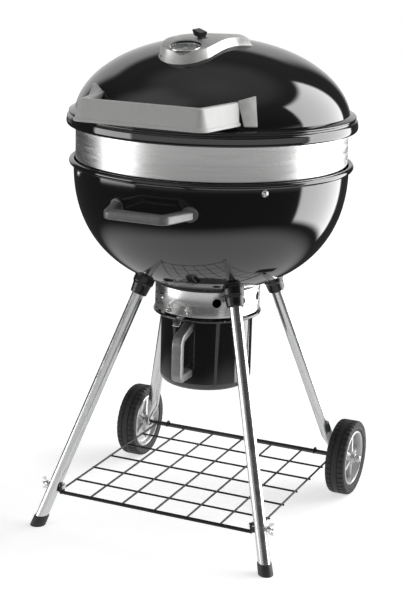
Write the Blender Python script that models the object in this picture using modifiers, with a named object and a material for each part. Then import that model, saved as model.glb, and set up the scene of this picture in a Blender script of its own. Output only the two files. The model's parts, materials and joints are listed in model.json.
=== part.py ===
"""Kettle charcoal grill: a 57 cm bowl and lid on four legs, in metres, +Z up.

The front of the grill, where the handles are, faces -Y. The floor is z = 0.
Everything is laid out around the bowl's own axis and hangs from one empty,
which puts the middle of the whole grill's box over the origin.
"""

import bpy
import bmesh
from math import cos, pi, radians, sin, sqrt
from mathutils import Matrix, Vector

# ---------------------------------------------------------------- dimensions
GAP = 0.0003            # air between two pieces that touch
MERGE = 0.00005         # vertices closer than this are one
KETTLE_STEPS = 40       # facets round the bowl, band and lid
POT_STEPS = 28          # facets round the ash pot and its collar
WHEEL_STEPS = 24
SMALL_STEPS = 12

BOWL_R = 0.2774         # outside radius under the rim
BOWL_RIM_Z = 0.7370     # underside of the rolled rim
BOWL_DEPTH = 0.2495
BOWL_POWER = 2.27       # superellipse: 2 is a half ellipse, more is squarer
BOWL_CROWDING = 1.35    # crowds the outline's points towards the rim
BOWL_SHEET = 0.0015
BOWL_BEAD_R = 0.0060
BOWL_BEAD_MID_R = 0.2805
RIM_TOP_Z = 0.7490

BAND_R = 0.2730
BAND_SHEET = 0.0015
BAND_JOGGLE = 0.0025
BAND_BOTTOM_Z = 0.7163
BAND_TOP_Z = 0.8285

LID_R = 0.2760
LID_BASE_Z = 0.8290     # centre height of the lid's half ellipsoid
LID_RISE = 0.1610
LID_SHEET = 0.0015
LID_RIM_R = 0.2912
LID_RIM_BOTTOM_Z = 0.8174

BOWL_HANDLE_FRONT = 0.3470
BOWL_HANDLE_Z = 0.6893
BOWL_HANDLE_SIZE = (0.0200, 0.0185, 0.0035)     # depth, height, bevel
BOWL_HANDLE_CORNERS = ((0.0560, BOWL_HANDLE_FRONT - 0.0100), (0.0760, 0.2700))
LID_HANDLE_Z = 0.8752
LID_HANDLE_SIZE = (0.0150, 0.0415, 0.0040)
LID_HANDLE_LEAN = 0.2900        # its foot stands further out than its top
LID_HANDLE_CORNERS = ((0.1228, 0.3295), (0.1464, 0.1987))
HANDLE_BEND = 0.0100            # length of the bends in both handles
BOWL_HANDLE_AIR = 0.0048        # between the bowl and the ends of its handle
BOWL_MOUNT_X = 0.0755
BOWL_MOUNT_Y = -0.2600
# Corners of the plates that fix the lid handle, on the dome and clockwise from
# the inner top one
FOOT_CORNERS = ((0.1400, -0.2085, 0.8970), (0.1655, -0.1850, 0.9055),
                (0.1790, -0.2050, 0.8515), (0.1590, -0.2210, 0.8525))
FOOT_SHEET = 0.0050             # how far the plates stand off the dome
FOOT_ROOT = 0.0060              # how deep their blocks reach before trimming
FOOT_AIR = 0.0010               # between a plate and the end of the handle
AXIS_Y = (BOWL_HANDLE_FRONT - LID_RIM_R) / 2

COLLAR_R = 0.1080
COLLAR_SHEET = 0.0015
COLLAR_BOTTOM_Z = 0.4425
COLLAR_TOP_Z = 0.4955
COLLAR_HOLE_R = 0.0092
COLLAR_HOLE_Z = 0.4740
COLLAR_HOLE_ANGLES = (34, 64, 94, 124, 154)

POT_R = 0.0945
POT_SHEET = 0.0015
POT_BOTTOM_Z = 0.2825
POT_CORNER_R = 0.0150
POT_RIM_R = 0.1112
POT_RIM_Z = 0.4385

TUBE_R = 0.0125
LEG_TOP_FRONT = Vector((0.1000, -0.0980, 0.5000))
LEG_FOOT_FRONT = Vector((0.2530, -0.2606, 0.0000))
LEG_TOP_REAR = Vector((0.1140, 0.0760, 0.4950))
LEG_TAB_HALF = 0.0025   # the rear leg's foot is pressed to a flat tab
FOOT_CAP_HEIGHT = 0.0210
FOOT_CAP_R = 0.0148

WHEEL_R = 0.0815
WHEEL_INNER_X = 0.2300
WHEEL_WIDTH = 0.0430
RIM_SEAT_R = 0.0600     # where the tyre sits on the hub
SPOKES = 5
AXLE_R = 0.0040
AXLE = Vector((0.2245, 0.2060, WHEEL_R))   # right rear leg's axle hole

SHELF_Z = 0.0722
SHELF_HALF_X = 0.2155
SHELF_FRONT_Y = -0.2390
SHELF_REAR_Y = 0.2237
SHELF_CELLS = 6
SHELF_WIRE_R = 0.0021
SHELF_RAIL_R = 0.0038
SHELF_STUB = 0.0050
BOLT_R = 0.0030
BOLT_Z = 0.0830

BRACKET_TOP_Z = BAND_BOTTOM_Z - GAP
BRACKET_WIDTH = 0.0300
RIVET_Z = 0.7290
RIVET_R = 0.0030

GRATE_R = 0.2590
GRATE_WIRE_R = 0.0028
GRATE_PITCH = 0.0220
GRATE_RODS = 6          # rods each side of the middle one; flaps hang on the last
GRATE_BAR_Y = 0.1300
GRATE_LIFT_HALF = 0.0350        # half width and rise of the loops that lift the grate
GRATE_LIFT_RISE = 0.0240
COAL_GRATE_R = 0.2050
COAL_GRATE_Z = 0.5660
COAL_PITCH = 0.0340
GRATE_STEPS = 32

VENT_X = -0.0010        # round end of the vent cover, seen from above
VENT_Y = -0.1230
VENT_TURN = radians(36.0)   # the cover's tail swings from +Y towards +X
VENT_TOP_R = 0.0505
VENT_BASE_R = 0.0560
VENT_LENGTH = 0.1270
VENT_TAIL_HALF = 0.0135
VENT_RISE = 0.0185
VENT_TAIL_RISE = 0.0140
VENT_NOSE_RISE = 0.0040  # extra height at the blunt end
VENT_SHEET = 0.0025
DIAL_X = 0.0030
DIAL_Y = -0.1420
DIAL_TILT = radians(8.0)
DIAL_R = 0.0305
NEEDLE_COLD = radians(125.0)

DAMPER_REACH = 0.0900
DAMPER_SLOTS = 4
LEVER_AZIMUTH = radians(-5.0)
LATCH_AZIMUTH = radians(-8.0)
LATCH_HALF = 0.0240
LATCH_Z = 0.4510
LATCH_PIVOT_R = 0.1125
LATCH_WIRE_R = 0.0010

GRILL = bpy.data.collections.new("kettle_charcoal_grill")
CUTTERS = bpy.data.collections.new("cutters")


# ------------------------------------------------------------------- tools
def clear_scene():
    for old in list(bpy.data.objects):
        bpy.data.objects.remove(old, do_unlink=True)
    for collection in (GRILL, CUTTERS):
        bpy.context.scene.collection.children.link(collection)


def finish_of(name, colour, roughness, metallic):
    """A plain Principled finish."""
    material = bpy.data.materials.new(name)
    material.use_nodes = True
    shader = material.node_tree.nodes["Principled BSDF"]
    shader.inputs["Base Color"].default_value = (*colour, 1.0)
    shader.inputs["Roughness"].default_value = roughness
    shader.inputs["Metallic"].default_value = metallic
    material.diffuse_color = (*colour, 1.0)
    return material


def add_piece(name, data, finish, parent=None, cutter=False):
    piece = bpy.data.objects.new(name, data)
    (CUTTERS if cutter else GRILL).objects.link(piece)
    if cutter:
        piece.hide_render = True
        piece.display_type = "WIRE"
    elif finish is not None:
        data.materials.append(finish)
    piece.parent = parent if parent is not None else ORIGIN
    return piece


def add_empty(name, location, rotation=None):
    """A frame to hang pieces on, in the bowl axis's own coordinates."""
    empty = bpy.data.objects.new(name, None)
    GRILL.objects.link(empty)
    matrix = rotation.to_4x4() if rotation is not None else Matrix.Identity(4)
    empty.matrix_basis = Matrix.Translation(location) @ matrix
    empty.parent = ORIGIN
    return empty


def shade_round(piece, angle=35.0):
    piece.data.shade_smooth()
    piece.data.set_sharp_from_angle(angle=radians(angle))


def turned(name, profile, finish, steps, parent=None, closed=True, cutter=False):
    """Turn (radius, height) points about Z. The outer side runs downwards."""
    points = [(radius, 0.0, height) for radius, height in profile]
    edges = [(i, i + 1) for i in range(len(points) - 1)]
    if closed:
        edges.append((len(points) - 1, 0))
    mesh = bpy.data.meshes.new(name)
    mesh.from_pydata(points, edges, [])
    piece = add_piece(name, mesh, finish, parent, cutter)
    screw = piece.modifiers.new("turn", "SCREW")
    screw.steps = steps
    screw.render_steps = steps
    screw.use_merge_vertices = True
    screw.merge_threshold = MERGE
    return piece


def lofted(name, rings, finish, parent=None, cutter=False):
    """Skin equal rings of points, one after another, and cap both ends."""
    bm = bmesh.new()
    loops = [[bm.verts.new(point) for point in ring] for ring in rings]
    count = len(loops[0])
    for lower, upper in zip(loops, loops[1:]):
        for i in range(count):
            j = (i + 1) % count
            bm.faces.new((lower[i], lower[j], upper[j], upper[i]))
    bm.faces.new(loops[0])
    bm.faces.new(loops[-1])
    bmesh.ops.recalc_face_normals(bm, faces=bm.faces)
    mesh = bpy.data.meshes.new(name)
    bm.to_mesh(mesh)
    bm.free()
    return add_piece(name, mesh, finish, parent, cutter)


def wires(name, runs, radius, finish, parent=None, cyclic=False, resolution=1, cutter=False):
    """Round wires along lists of points, as one mesh object."""
    curve = bpy.data.curves.new(name + "_path", "CURVE")
    curve.dimensions = "3D"
    curve.bevel_depth = radius
    curve.bevel_resolution = resolution
    curve.use_fill_caps = True
    for run in runs:
        spline = curve.splines.new("POLY")
        spline.points.add(len(run) - 1)
        for point, place in zip(spline.points, run):
            point.co = (*place, 1.0)
        spline.use_cyclic_u = cyclic
    path = add_piece(name + "_path", curve, None, parent, cutter=True)
    bpy.context.view_layer.update()
    graph = bpy.context.evaluated_depsgraph_get()
    mesh = bpy.data.meshes.new_from_object(path.evaluated_get(graph))
    bm = bmesh.new()
    bm.from_mesh(mesh)
    bmesh.ops.remove_doubles(bm, verts=bm.verts, dist=MERGE)
    bmesh.ops.recalc_face_normals(bm, faces=bm.faces)
    bm.to_mesh(mesh)
    bm.free()
    mesh.materials.clear()
    bpy.data.objects.remove(path)
    return add_piece(name, mesh, finish, parent, cutter)


def bored(name, radius, start, end, parent=None, steps=SMALL_STEPS):
    """A cutting cylinder from start to end."""
    start, end = Vector(start), Vector(end)
    mesh = bpy.data.meshes.new(name)
    bm = bmesh.new()
    bmesh.ops.create_cone(bm, cap_ends=True, segments=steps, radius1=radius,
                          radius2=radius, depth=(end - start).length)
    bm.to_mesh(mesh)
    bm.free()
    piece = add_piece(name, mesh, None, parent, cutter=True)
    turn = (end - start).to_track_quat("Z", "Y").to_matrix().to_4x4()
    piece.matrix_basis = Matrix.Translation((start + end) / 2) @ turn
    return piece


def block(name, size, centre, finish=None, parent=None, turn=0.0, cutter=True):
    """A box of the given size, turned about Z."""
    mesh = bpy.data.meshes.new(name)
    bm = bmesh.new()
    bmesh.ops.create_cube(bm, size=1.0)
    bmesh.ops.scale(bm, vec=size, verts=bm.verts)
    bm.to_mesh(mesh)
    bm.free()
    piece = add_piece(name, mesh, finish, parent, cutter)
    piece.matrix_basis = Matrix.Translation(centre) @ Matrix.Rotation(turn, 4, "Z")
    return piece


def clear_of(radius, steps):
    """Radius of a faceted hole whose flats stay clear of a shaft."""
    return radius / cos(pi / steps) + GAP


def boolean(piece, tool, operation):
    modifier = piece.modifiers.new(operation.lower() + "_" + tool.name, "BOOLEAN")
    modifier.operation = operation
    modifier.object = tool


def cut(piece, *tools):
    for tool in tools:
        boolean(piece, tool, "DIFFERENCE")


def unite(piece, *tools):
    for tool in tools:
        boolean(piece, tool, "UNION")


def around(radius, azimuth, height=0.0):
    """A point at an angle from the front, turning towards +X."""
    return Vector((radius * sin(azimuth), -radius * cos(azimuth), height))


def circle(radius, height, count=64):
    return [around(radius, 2 * pi * i / count, height) for i in range(count)]


def bevelled_box(width, height, bevel):
    """Eight points of a box section with its corners cut off."""
    half, up = width / 2, height / 2
    corners = ((half - bevel, -up), (half, -up + bevel), (half, up - bevel), (half - bevel, up))
    return list(corners) + [(-across, rise) for across, rise in reversed(corners)]


def swept(name, path, section, up, finish, parent=None, cutter=False):
    """Carry an (across, up) section along a flat path, with mitred corners."""
    path = [Vector(point) for point in path]
    up = Vector(up)
    rings = []
    for i, point in enumerate(path):
        sides = []
        if i > 0:
            sides.append((point - path[i - 1]).normalized().cross(up))
        if i < len(path) - 1:
            sides.append((path[i + 1] - point).normalized().cross(up))
        mitre = sides[0]
        if len(sides) == 2:
            mitre = (sides[0] + sides[1]) / (1.0 + sides[0].dot(sides[1]))
        rings.append([point + mitre * across + up * rise for across, rise in section])
    return lofted(name, rings, finish, parent, cutter)


def rounded_corners(path, reach, count=3):
    """Replace each inner corner of a path by a short arc of points."""
    path = [Vector(point) for point in path]
    result = [path[0]]
    for before, corner, after in zip(path, path[1:], path[2:]):
        start = corner + (before - corner).normalized() * reach
        end = corner + (after - corner).normalized() * reach
        for i in range(count + 1):
            t = i / count
            result.append(start * (1 - t) ** 2 + corner * (2 * t * (1 - t)) + end * t * t)
    result.append(path[-1])
    return result


# ----------------------------------------------------------- driving shapes
def bowl_curve(radius, depth, count, reach=pi / 2):
    """Outline of the bowl from under the rim towards the bottom."""
    points = []
    for i in range(count + 1):
        angle = reach * (i / count) ** BOWL_CROWDING
        across = cos(angle) ** (2 / BOWL_POWER)
        down = sin(angle) ** (2 / BOWL_POWER)
        points.append((radius * across, BOWL_RIM_Z - depth * down))
    return points


def bowl_height(radius, offset=0.0):
    """Height of the bowl's outside at a radius, or of a surface offset outwards."""
    share = radius / (BOWL_R + offset)
    down = (1 - share ** BOWL_POWER) ** (1 / BOWL_POWER)
    return BOWL_RIM_Z - (BOWL_DEPTH + offset) * down


def lid_height(x, y, offset=0.0):
    share = (x * x + y * y) / (LID_R + offset) ** 2
    return LID_BASE_Z + (LID_RISE + offset) * sqrt(1 - share)


def lid_normal(x, y):
    rise = lid_height(x, y) - LID_BASE_Z
    return Vector((x / LID_R ** 2, y / LID_R ** 2, rise / LID_RISE ** 2)).normalized()


def dome_curve(offset, count):
    """Outline of the lid's dome from its top to just above the rim."""
    reach = radians(83.0)
    points = []
    for i in range(count + 1):
        angle = reach * i / count
        points.append(((LID_R + offset) * sin(angle), LID_BASE_Z + (LID_RISE + offset) * cos(angle)))
    return points


def lid_envelope(name, offset=GAP):
    """Solid the shape of the lid's outside, to trim what sits on it."""
    profile = [*dome_curve(offset, 8), (0.0, LID_BASE_Z)]
    return turned(name, profile, None, KETTLE_STEPS, closed=False, cutter=True)


def bowl_envelope(name, offset=GAP):
    """Solid the shape of the bowl's outside, to trim what sits under it."""
    curve = bowl_curve(BOWL_R + offset, BOWL_DEPTH + offset, 8)
    profile = [(0.0, RIM_TOP_Z), (BOWL_R + offset, RIM_TOP_Z), *curve[:-1]]
    profile.append((0.0, BOWL_RIM_Z - BOWL_DEPTH - offset))
    return turned(name, profile, None, KETTLE_STEPS, closed=False, cutter=True)


# --------------------------------------------------------------- the kettle
def damper_outline(half_angle, inner, outer, azimuth):
    """A sector with square ends, as (x, y) points."""
    points = []
    for radius, sign in ((inner, 1), (outer, -1)):
        for i in range(5):
            angle = azimuth + sign * half_angle * (1 - i / 2)
            points.append(around(radius, angle))
    return points


def sector(name, half_angle, inner, outer, azimuth, low, high, parent=None):
    outline = damper_outline(half_angle, inner, outer, azimuth)
    rings = [[Vector((p.x, p.y, height)) for p in outline] for height in (low, high)]
    return lofted(name, rings, None, parent, cutter=True)


def make_bowl():
    outer = bowl_curve(BOWL_R, BOWL_DEPTH, 8)
    inner = bowl_curve(BOWL_R - BOWL_SHEET, BOWL_DEPTH - BOWL_SHEET, 8)
    bead = []
    for angle in (180, 120, 75, 25, -25, -90):
        bead.append((BOWL_BEAD_MID_R + BOWL_BEAD_R * cos(radians(angle)),
                     RIM_TOP_Z - BOWL_BEAD_R + BOWL_BEAD_R * sin(radians(angle))))
    bead[0] = (BOWL_R - BOWL_SHEET, bead[0][1])
    spindle_hole = 0.0046
    bottom = [(spindle_hole, BOWL_RIM_Z - BOWL_DEPTH), (spindle_hole, inner[-1][1])]
    profile = bead + outer[:-1] + bottom + list(reversed(inner[:-1]))
    bowl = turned("bowl_shell", profile, PORCELAIN, KETTLE_STEPS)
    for i in range(DAMPER_SLOTS):
        azimuth = 2 * pi * i / DAMPER_SLOTS
        cut(bowl, sector("bowl_air_slot_%d" % i, radians(15), 0.036, 0.080, azimuth, 0.47, 0.52))
    for i, azimuth in enumerate(BRACKET_ANGLES):
        start = around(0.26, azimuth, RIVET_Z)
        end = around(0.29, azimuth, RIVET_Z)
        cut(bowl, bored("bowl_rivet_hole_%d" % i, clear_of(RIVET_R, 8), start, end, steps=8))


def make_band():
    low = BAND_R - BAND_JOGGLE
    profile = [
        (BAND_R - BAND_SHEET, BAND_TOP_Z), (BAND_R, BAND_TOP_Z), (BAND_R, 0.7480),
        (low, 0.7450), (low, BAND_BOTTOM_Z), (low - BAND_SHEET, BAND_BOTTOM_Z),
        (low - BAND_SHEET, 0.7450), (BAND_R - BAND_SHEET, 0.7480),
    ]
    turned("steel_band", profile, STEEL, KETTLE_STEPS)


def make_lid():
    seat_z = BAND_TOP_Z + GAP
    rim = [
        (0.2830, 0.8458), (0.2868, 0.8425), (0.2868, 0.8375), (0.2893, 0.8358),
        (0.2893, 0.8290), (LID_RIM_R, 0.8265), (LID_RIM_R, 0.8200), (0.2893, LID_RIM_BOTTOM_Z),
        (0.2745, LID_RIM_BOTTOM_Z), (0.2745, seat_z), (0.2700, seat_z), (0.2700, seat_z + 0.002),
    ]
    inner = dome_curve(-LID_SHEET, 8)
    profile = dome_curve(0.0, 8) + rim + list(reversed(inner))
    lid = turned("lid_shell", profile, PORCELAIN, KETTLE_STEPS, closed=False)
    probe = DIAL_FRAME_PLACE
    depth = DIAL_AXIS * 0.03
    cut(lid, bored("lid_probe_hole", 0.0040, probe - depth, probe + depth))
    for i, forward in enumerate(VENT_SLOT_PLACES):
        size = (2 * VENT_SLOT_HALF, VENT_SLOT_LENGTH, 0.03)
        cut(lid, block("lid_vent_slot_%d" % i, size, (0.0, forward, 0.0), parent=VENT_FRAME))


def make_grate_supports():
    """Four bent brackets riveted inside the bowl carry the grate and the band."""
    wall = 0.2722
    flange = 0.0012
    for name, azimuth in zip(CORNER_NAMES, BRACKET_ANGLES):
        frame = add_empty("bracket_frame_" + name, (0.0, 0.0, 0.0), Matrix.Rotation(azimuth, 3, "Z"))
        section = [
            (0.2380, BRACKET_TOP_Z - flange), (wall, BRACKET_TOP_Z - flange), (wall, 0.7345),
            (wall - flange, 0.7345), (wall - flange, BRACKET_TOP_Z), (0.2380, BRACKET_TOP_Z),
        ]
        rings = [[Vector((x, -r, z)) for r, z in section] for x in (-BRACKET_WIDTH / 2, BRACKET_WIDTH / 2)]
        bracket = lofted("grate_bracket_" + name, rings, STEEL, frame)
        hole = bored("bracket_hole_" + name, clear_of(RIVET_R, 8), (0, -0.25, RIVET_Z), (0, -0.29, RIVET_Z),
                     frame, steps=8)
        cut(bracket, hole)
        make_rivet("grate_rivet_" + name, frame, wall - flange)


def make_rivet(name, frame, inner):
    """A round-headed rivet with its washer, through the bowl wall."""
    head = BOWL_R + 0.0004
    profile = [
        (0.0, head + 0.0032), (0.0030, head + 0.0026), (0.0046, head + 0.0010), (0.0066, head + 0.0010),
        (0.0066, head), (RIVET_R, head), (RIVET_R, inner), (0.0, inner),
    ]
    rivet = turned(name, profile, STEEL, 8, frame, closed=False)
    rivet.matrix_basis = Matrix.Translation((0, 0, RIVET_Z)) @ Matrix.Rotation(pi / 2, 4, "X")


def make_handle(name, finish, corners, height, size, lean, envelope):
    """A flat bar bent into three runs, trimmed to the shell it stands on."""
    (half_front, front), (half_back, back) = corners
    path = [(-half_back, -back, height), (-half_front, -front, height),
            (half_front, -front, height), (half_back, -back, height)]
    section = [(across - lean * rise, rise) for across, rise in bevelled_box(*size)]
    bar = swept(name, rounded_corners(path, HANDLE_BEND), section, (0, 0, 1), finish)
    cut(bar, envelope)
    shade_round(bar)
    return bar


def foot_block(name, side, finish, grow=0.0, cutter=False):
    """The block of one plate, grown by some air where it cuts the handle."""
    corners = [Vector(corner) for corner in FOOT_CORNERS]
    outwards = (corners[2] - corners[0]).cross(corners[1] - corners[3]).normalized()
    centre = sum(corners, Vector()) / len(corners)
    rings = []
    for level in (-FOOT_ROOT - grow, FOOT_SHEET + grow):
        ring = [corner + (corner - centre).normalized() * grow + outwards * level for corner in corners]
        rings.append([Vector((side * point.x, point.y, point.z)) for point in ring])
    return lofted(name, rings, finish, cutter=cutter)


def make_lid_handle():
    """The bent grip, which ends at a flat plate on the dome on each side."""
    handle = make_handle("lid_handle", GRIP, LID_HANDLE_CORNERS, LID_HANDLE_Z, LID_HANDLE_SIZE,
                         LID_HANDLE_LEAN, lid_envelope("lid_handle_trim"))
    for side, name in ((-1, "left"), (1, "right")):
        foot = foot_block("lid_handle_foot_" + name, side, GRIP)
        cut(foot, lid_envelope("lid_foot_trim_" + name))
        cut(handle, foot_block("lid_foot_room_" + name, side, None, FOOT_AIR, True))


def make_bowl_handle_mount(name, side):
    """A round boss that carries one end of the bowl handle."""
    radius, height, chamfer = 0.0120, 0.0150, 0.0030
    outwards = Vector((side * 0.03, -1.0, -0.10)).normalized()
    turn = outwards.to_track_quat("Z", "Y").to_matrix()
    place = Vector((side * BOWL_MOUNT_X, BOWL_MOUNT_Y, BOWL_HANDLE_Z))
    frame = add_empty("bowl_handle_mount_frame_" + name, place, turn)
    profile = [(0.0, radius), (height - chamfer, radius), (height, radius - chamfer),
               (height, -radius), (0.0, -radius)]
    mount = turned("bowl_handle_mount_" + name, profile, DARK_GRIP, SMALL_STEPS, frame, closed=False)
    limit = bowl_envelope("mount_limit_" + name, BOWL_HANDLE_AIR - GAP)
    boolean(mount, limit, "INTERSECT")
    cut(mount, bowl_envelope("mount_trim_" + name))


def make_bowl_handle():
    make_handle("bowl_handle", DARK_GRIP, BOWL_HANDLE_CORNERS, BOWL_HANDLE_Z, BOWL_HANDLE_SIZE,
                0.0, bowl_envelope("bowl_handle_trim", BOWL_HANDLE_AIR))
    make_bowl_handle_mount("left", -1)
    make_bowl_handle_mount("right", 1)


# ----------------------------------------------------------- vent and gauge
def vent_half_width(forward, inset=0.0):
    """Half width of the cover: a round end that flows into a narrow tail."""
    radius = VENT_TOP_R - inset
    tail = VENT_TAIL_HALF - inset
    leave = 0.012
    if forward <= leave:
        return sqrt(max(radius * radius - forward * forward, 0.0))
    t = min((forward - leave) / (VENT_LENGTH * 0.82 - leave), 1.0)
    start = sqrt(radius * radius - leave * leave)
    blend = t * t * (3 - 2 * t) * 0.65 + (1 - (1 - t) ** 2) * 0.35
    return start + (tail - start) * blend


def vent_point(forward, across, rise_share=1.0, grow=0.0):
    """A point of the cover from its own plan coordinates."""
    rise = VENT_RISE + (VENT_TAIL_RISE - VENT_RISE) * max(forward, 0.0) / VENT_LENGTH
    rise += VENT_NOSE_RISE * max(-forward, 0.0) / VENT_TOP_R
    span = Vector((across, forward))
    if grow and span.length > 0:
        if forward <= 0:
            span = span * (1 + grow / VENT_TOP_R)
        else:
            widen = grow if across > 0 else -grow
            span = Vector((across + widen * min(1, abs(across) / 0.01), forward))
    x = VENT_X + span.x * cos(VENT_TURN) + span.y * sin(VENT_TURN)
    y = VENT_Y - span.x * sin(VENT_TURN) + span.y * cos(VENT_TURN)
    return Vector((x, y, lid_height(x, y) + rise * rise_share))


def vent_stations():
    """Distances along the cover, close together round its blunt end."""
    blunt = [-VENT_TOP_R * cos(radians(angle)) for angle in (12, 30, 48, 66, 84)]
    tail = [0.012 + (VENT_LENGTH - 0.012) * i / 6 for i in range(7)]
    return blunt + tail


def vent_solid(name, inset, lift, sink, finish, cutter=False):
    """The cover's outside, or its hollow: crowned top and leaning side."""
    grow = VENT_BASE_R - VENT_TOP_R
    shares = (-1.0, -0.6, 0.0, 0.6, 1.0)
    bm = bmesh.new()
    rows = []
    for forward in vent_stations():
        along = forward * (1 - inset / VENT_TOP_R) if forward < 0 else forward - inset * forward / VENT_LENGTH
        half = vent_half_width(forward, inset)
        if forward < 0:
            half = sqrt(VENT_TOP_R ** 2 - forward ** 2) * (1 - inset / VENT_TOP_R)
        rows.append([(along, half * share) for share in shares])
    top = []
    for row in rows:
        top.append([bm.verts.new(vent_point(u, v) - Vector((0, 0, lift))) for u, v in row])
    for near, far in zip(top, top[1:]):
        for i in range(len(shares) - 1):
            bm.faces.new((near[i], near[i + 1], far[i + 1], far[i]))
    edge_uv = rows[0] + [row[-1] for row in rows[1:]] + rows[-1][-2::-1] + [row[0] for row in rows[-2:0:-1]]
    edge = top[0] + [row[-1] for row in top[1:]] + top[-1][-2::-1] + [row[0] for row in top[-2:0:-1]]
    base = []
    for u, v in edge_uv:
        stretch = u + grow if u >= VENT_LENGTH * 0.97 else u
        base.append(bm.verts.new(vent_point(stretch, v, 0.0, grow) - Vector((0, 0, sink))))
    for i in range(len(edge)):
        j = (i + 1) % len(edge)
        bm.faces.new((edge[i], edge[j], base[j], base[i]))
    bm.faces.new(base)
    bmesh.ops.recalc_face_normals(bm, faces=bm.faces)
    bmesh.ops.triangulate(bm, faces=bm.faces)
    mesh = bpy.data.meshes.new(name)
    bm.to_mesh(mesh)
    bm.free()
    return add_piece(name, mesh, finish, cutter=cutter)


def make_vent_cover():
    cover = vent_solid("vent_cover", 0.0, 0.0, 0.010, SATIN)
    cut(cover, vent_solid("vent_hollow", VENT_SHEET, VENT_SHEET, 0.014, None, cutter=True))
    cut(cover, lid_envelope("vent_trim"))
    probe = DIAL_FRAME_PLACE
    cut(cover, bored("dial_opening", clear_of(DIAL_R, 20), probe, probe + DIAL_AXIS * 0.05, steps=20))
    size = (0.0090, KNOB_SLOT_LENGTH, 0.040)
    centre = (0.0, KNOB_PLACE + VENT_TRAVEL / 2, 0.020)
    cut(cover, block("knob_slot", size, centre, parent=VENT_FRAME))
    for i in range(3):
        angle = VENT_TURN + radians(-115 - 24 * i)
        place = Vector((VENT_X + 0.052 * sin(angle), VENT_Y + 0.052 * cos(angle), 0.0))
        place.z = lid_height(place.x, place.y) + 0.003
        cut(cover, block("cover_air_slot_%d" % i, (0.012, 0.020, 0.005), place, turn=-angle))


def make_vent_slider():
    """A slotted plate under the cover that the ribbed thumb knob pushes."""
    plate = block("vent_slider_plate", (0.0300, 0.0440, 0.0012), (0.0, 0.0425, 0.0022), STEEL,
                  VENT_FRAME, cutter=False)
    for i, forward in enumerate(VENT_SLOT_PLACES):
        size = (2 * VENT_SLOT_HALF, VENT_SLOT_LENGTH, 0.01)
        cut(plate, block("slider_slot_%d" % i, size, (0.0, forward, 0.0), parent=VENT_FRAME))
    stem = [(-0.0035, -0.0035), (0.0035, -0.0035), (0.0035, 0.0035), (-0.0035, 0.0035)]
    levels = ((0.0031, 1.0, 1.0), (0.0215, 1.0, 1.0), (0.0225, 3.4, 1.9),
              (0.0310, 4.4, 2.4), (0.0330, 4.2, 2.2))
    rings = []
    for height, wide, deep in levels:
        rings.append([Vector((x * wide, KNOB_PLACE + y * deep, height)) for x, y in stem])
    knob = lofted("vent_knob", rings, BLACK_PLASTIC, VENT_FRAME)
    for i in range(4):
        across = -0.0108 + 0.0072 * i
        groove = block("knob_groove_%d" % i, (0.0016, 0.04, 0.0016), (across, KNOB_PLACE, 0.0330),
                       parent=VENT_FRAME)
        cut(knob, groove)


def make_gauge():
    """The thermometer: case with probe, printed face, needle and glass."""
    top = GAUGE_TOP
    case = [
        (DIAL_R - 0.0020, top), (DIAL_R, top - 0.0015), (DIAL_R, top - 0.0100), (0.0080, top - 0.0120),
        (0.0080, 0.0030), (0.0035, 0.0030), (0.0035, -0.0550), (0.0, -0.0550),
    ]
    recess = [(0.0, top - 0.0075), (0.0270, top - 0.0075), (0.0270, top - 0.0005)]
    turned("thermometer_case", recess + case, STEEL, 20, DIAL_FRAME, closed=False)
    floor = top - 0.0075 + GAP
    face = [(0.0012, floor + 0.0008), (0.0262, floor + 0.0008), (0.0262, floor), (0.0012, floor)]
    turned("thermometer_face", face, DIAL_FACE, 20, DIAL_FRAME)
    glass = [(0.0, top - 0.0010), (0.0266, top - 0.0010), (0.0266, top - 0.0022), (0.0, top - 0.0022)]
    turned("thermometer_glass", glass, GLASS, 20, DIAL_FRAME, closed=False)
    height = floor + 0.0016
    outline = [(0.0022, -0.0050), (0.0022, 0.0), (0.0004, 0.0215), (-0.0004, 0.0215), (-0.0022, 0.0),
               (-0.0022, -0.0050)]
    rings = [[Vector((x, y, z)) for x, y in outline] for z in (height, height + 0.0008)]
    needle = lofted("thermometer_needle", rings, NEEDLE, DIAL_FRAME)
    needle.matrix_basis = Matrix.Rotation(NEEDLE_COLD, 4, "Z")


# ------------------------------------------------------- grates in the bowl
def chord(radius, offset):
    return sqrt(radius * radius - offset * offset)


def make_cooking_grate():
    ring_z = BRACKET_TOP_Z + GAP + GRATE_WIRE_R
    rod_z = ring_z + 1.7 * GRATE_WIRE_R
    grate = wires("cooking_grate", [circle(GRATE_R, ring_z, GRATE_STEPS)], GRATE_WIRE_R, STEEL, cyclic=True)
    rods = []
    for i in range(-GRATE_RODS, GRATE_RODS + 1):
        x = i * GRATE_PITCH
        reach = chord(GRATE_R, x)
        rods.append([(x, -reach, rod_z), (x, reach, rod_z)])
    unite(grate, wires("grate_rods", rods, GRATE_WIRE_R, None, cutter=True))
    bars = []
    for y in (-GRATE_BAR_Y, GRATE_BAR_Y):
        bars.append([(-chord(GRATE_R, y), y, ring_z), (chord(GRATE_R, y), y, ring_z)])
    unite(grate, wires("grate_bars", bars, GRATE_WIRE_R, None, cutter=True))
    loops = []
    for side in (-1, 1):
        x, top = side * chord(GRATE_R, GRATE_LIFT_HALF), ring_z + GRATE_LIFT_RISE
        loop = [(x, -GRATE_LIFT_HALF, ring_z), (x, -GRATE_LIFT_HALF, top),
                (x, GRATE_LIFT_HALF, top), (x, GRATE_LIFT_HALF, ring_z)]
        loops.append(rounded_corners(loop, GRATE_LIFT_RISE / 2))
    unite(grate, wires("grate_loops", loops, GRATE_WIRE_R, None, cutter=True))
    for side, name in ((-1, "left"), (1, "right")):
        make_flap(name, side, rod_z, ring_z + 2 * GRATE_WIRE_R + GAP)


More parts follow.
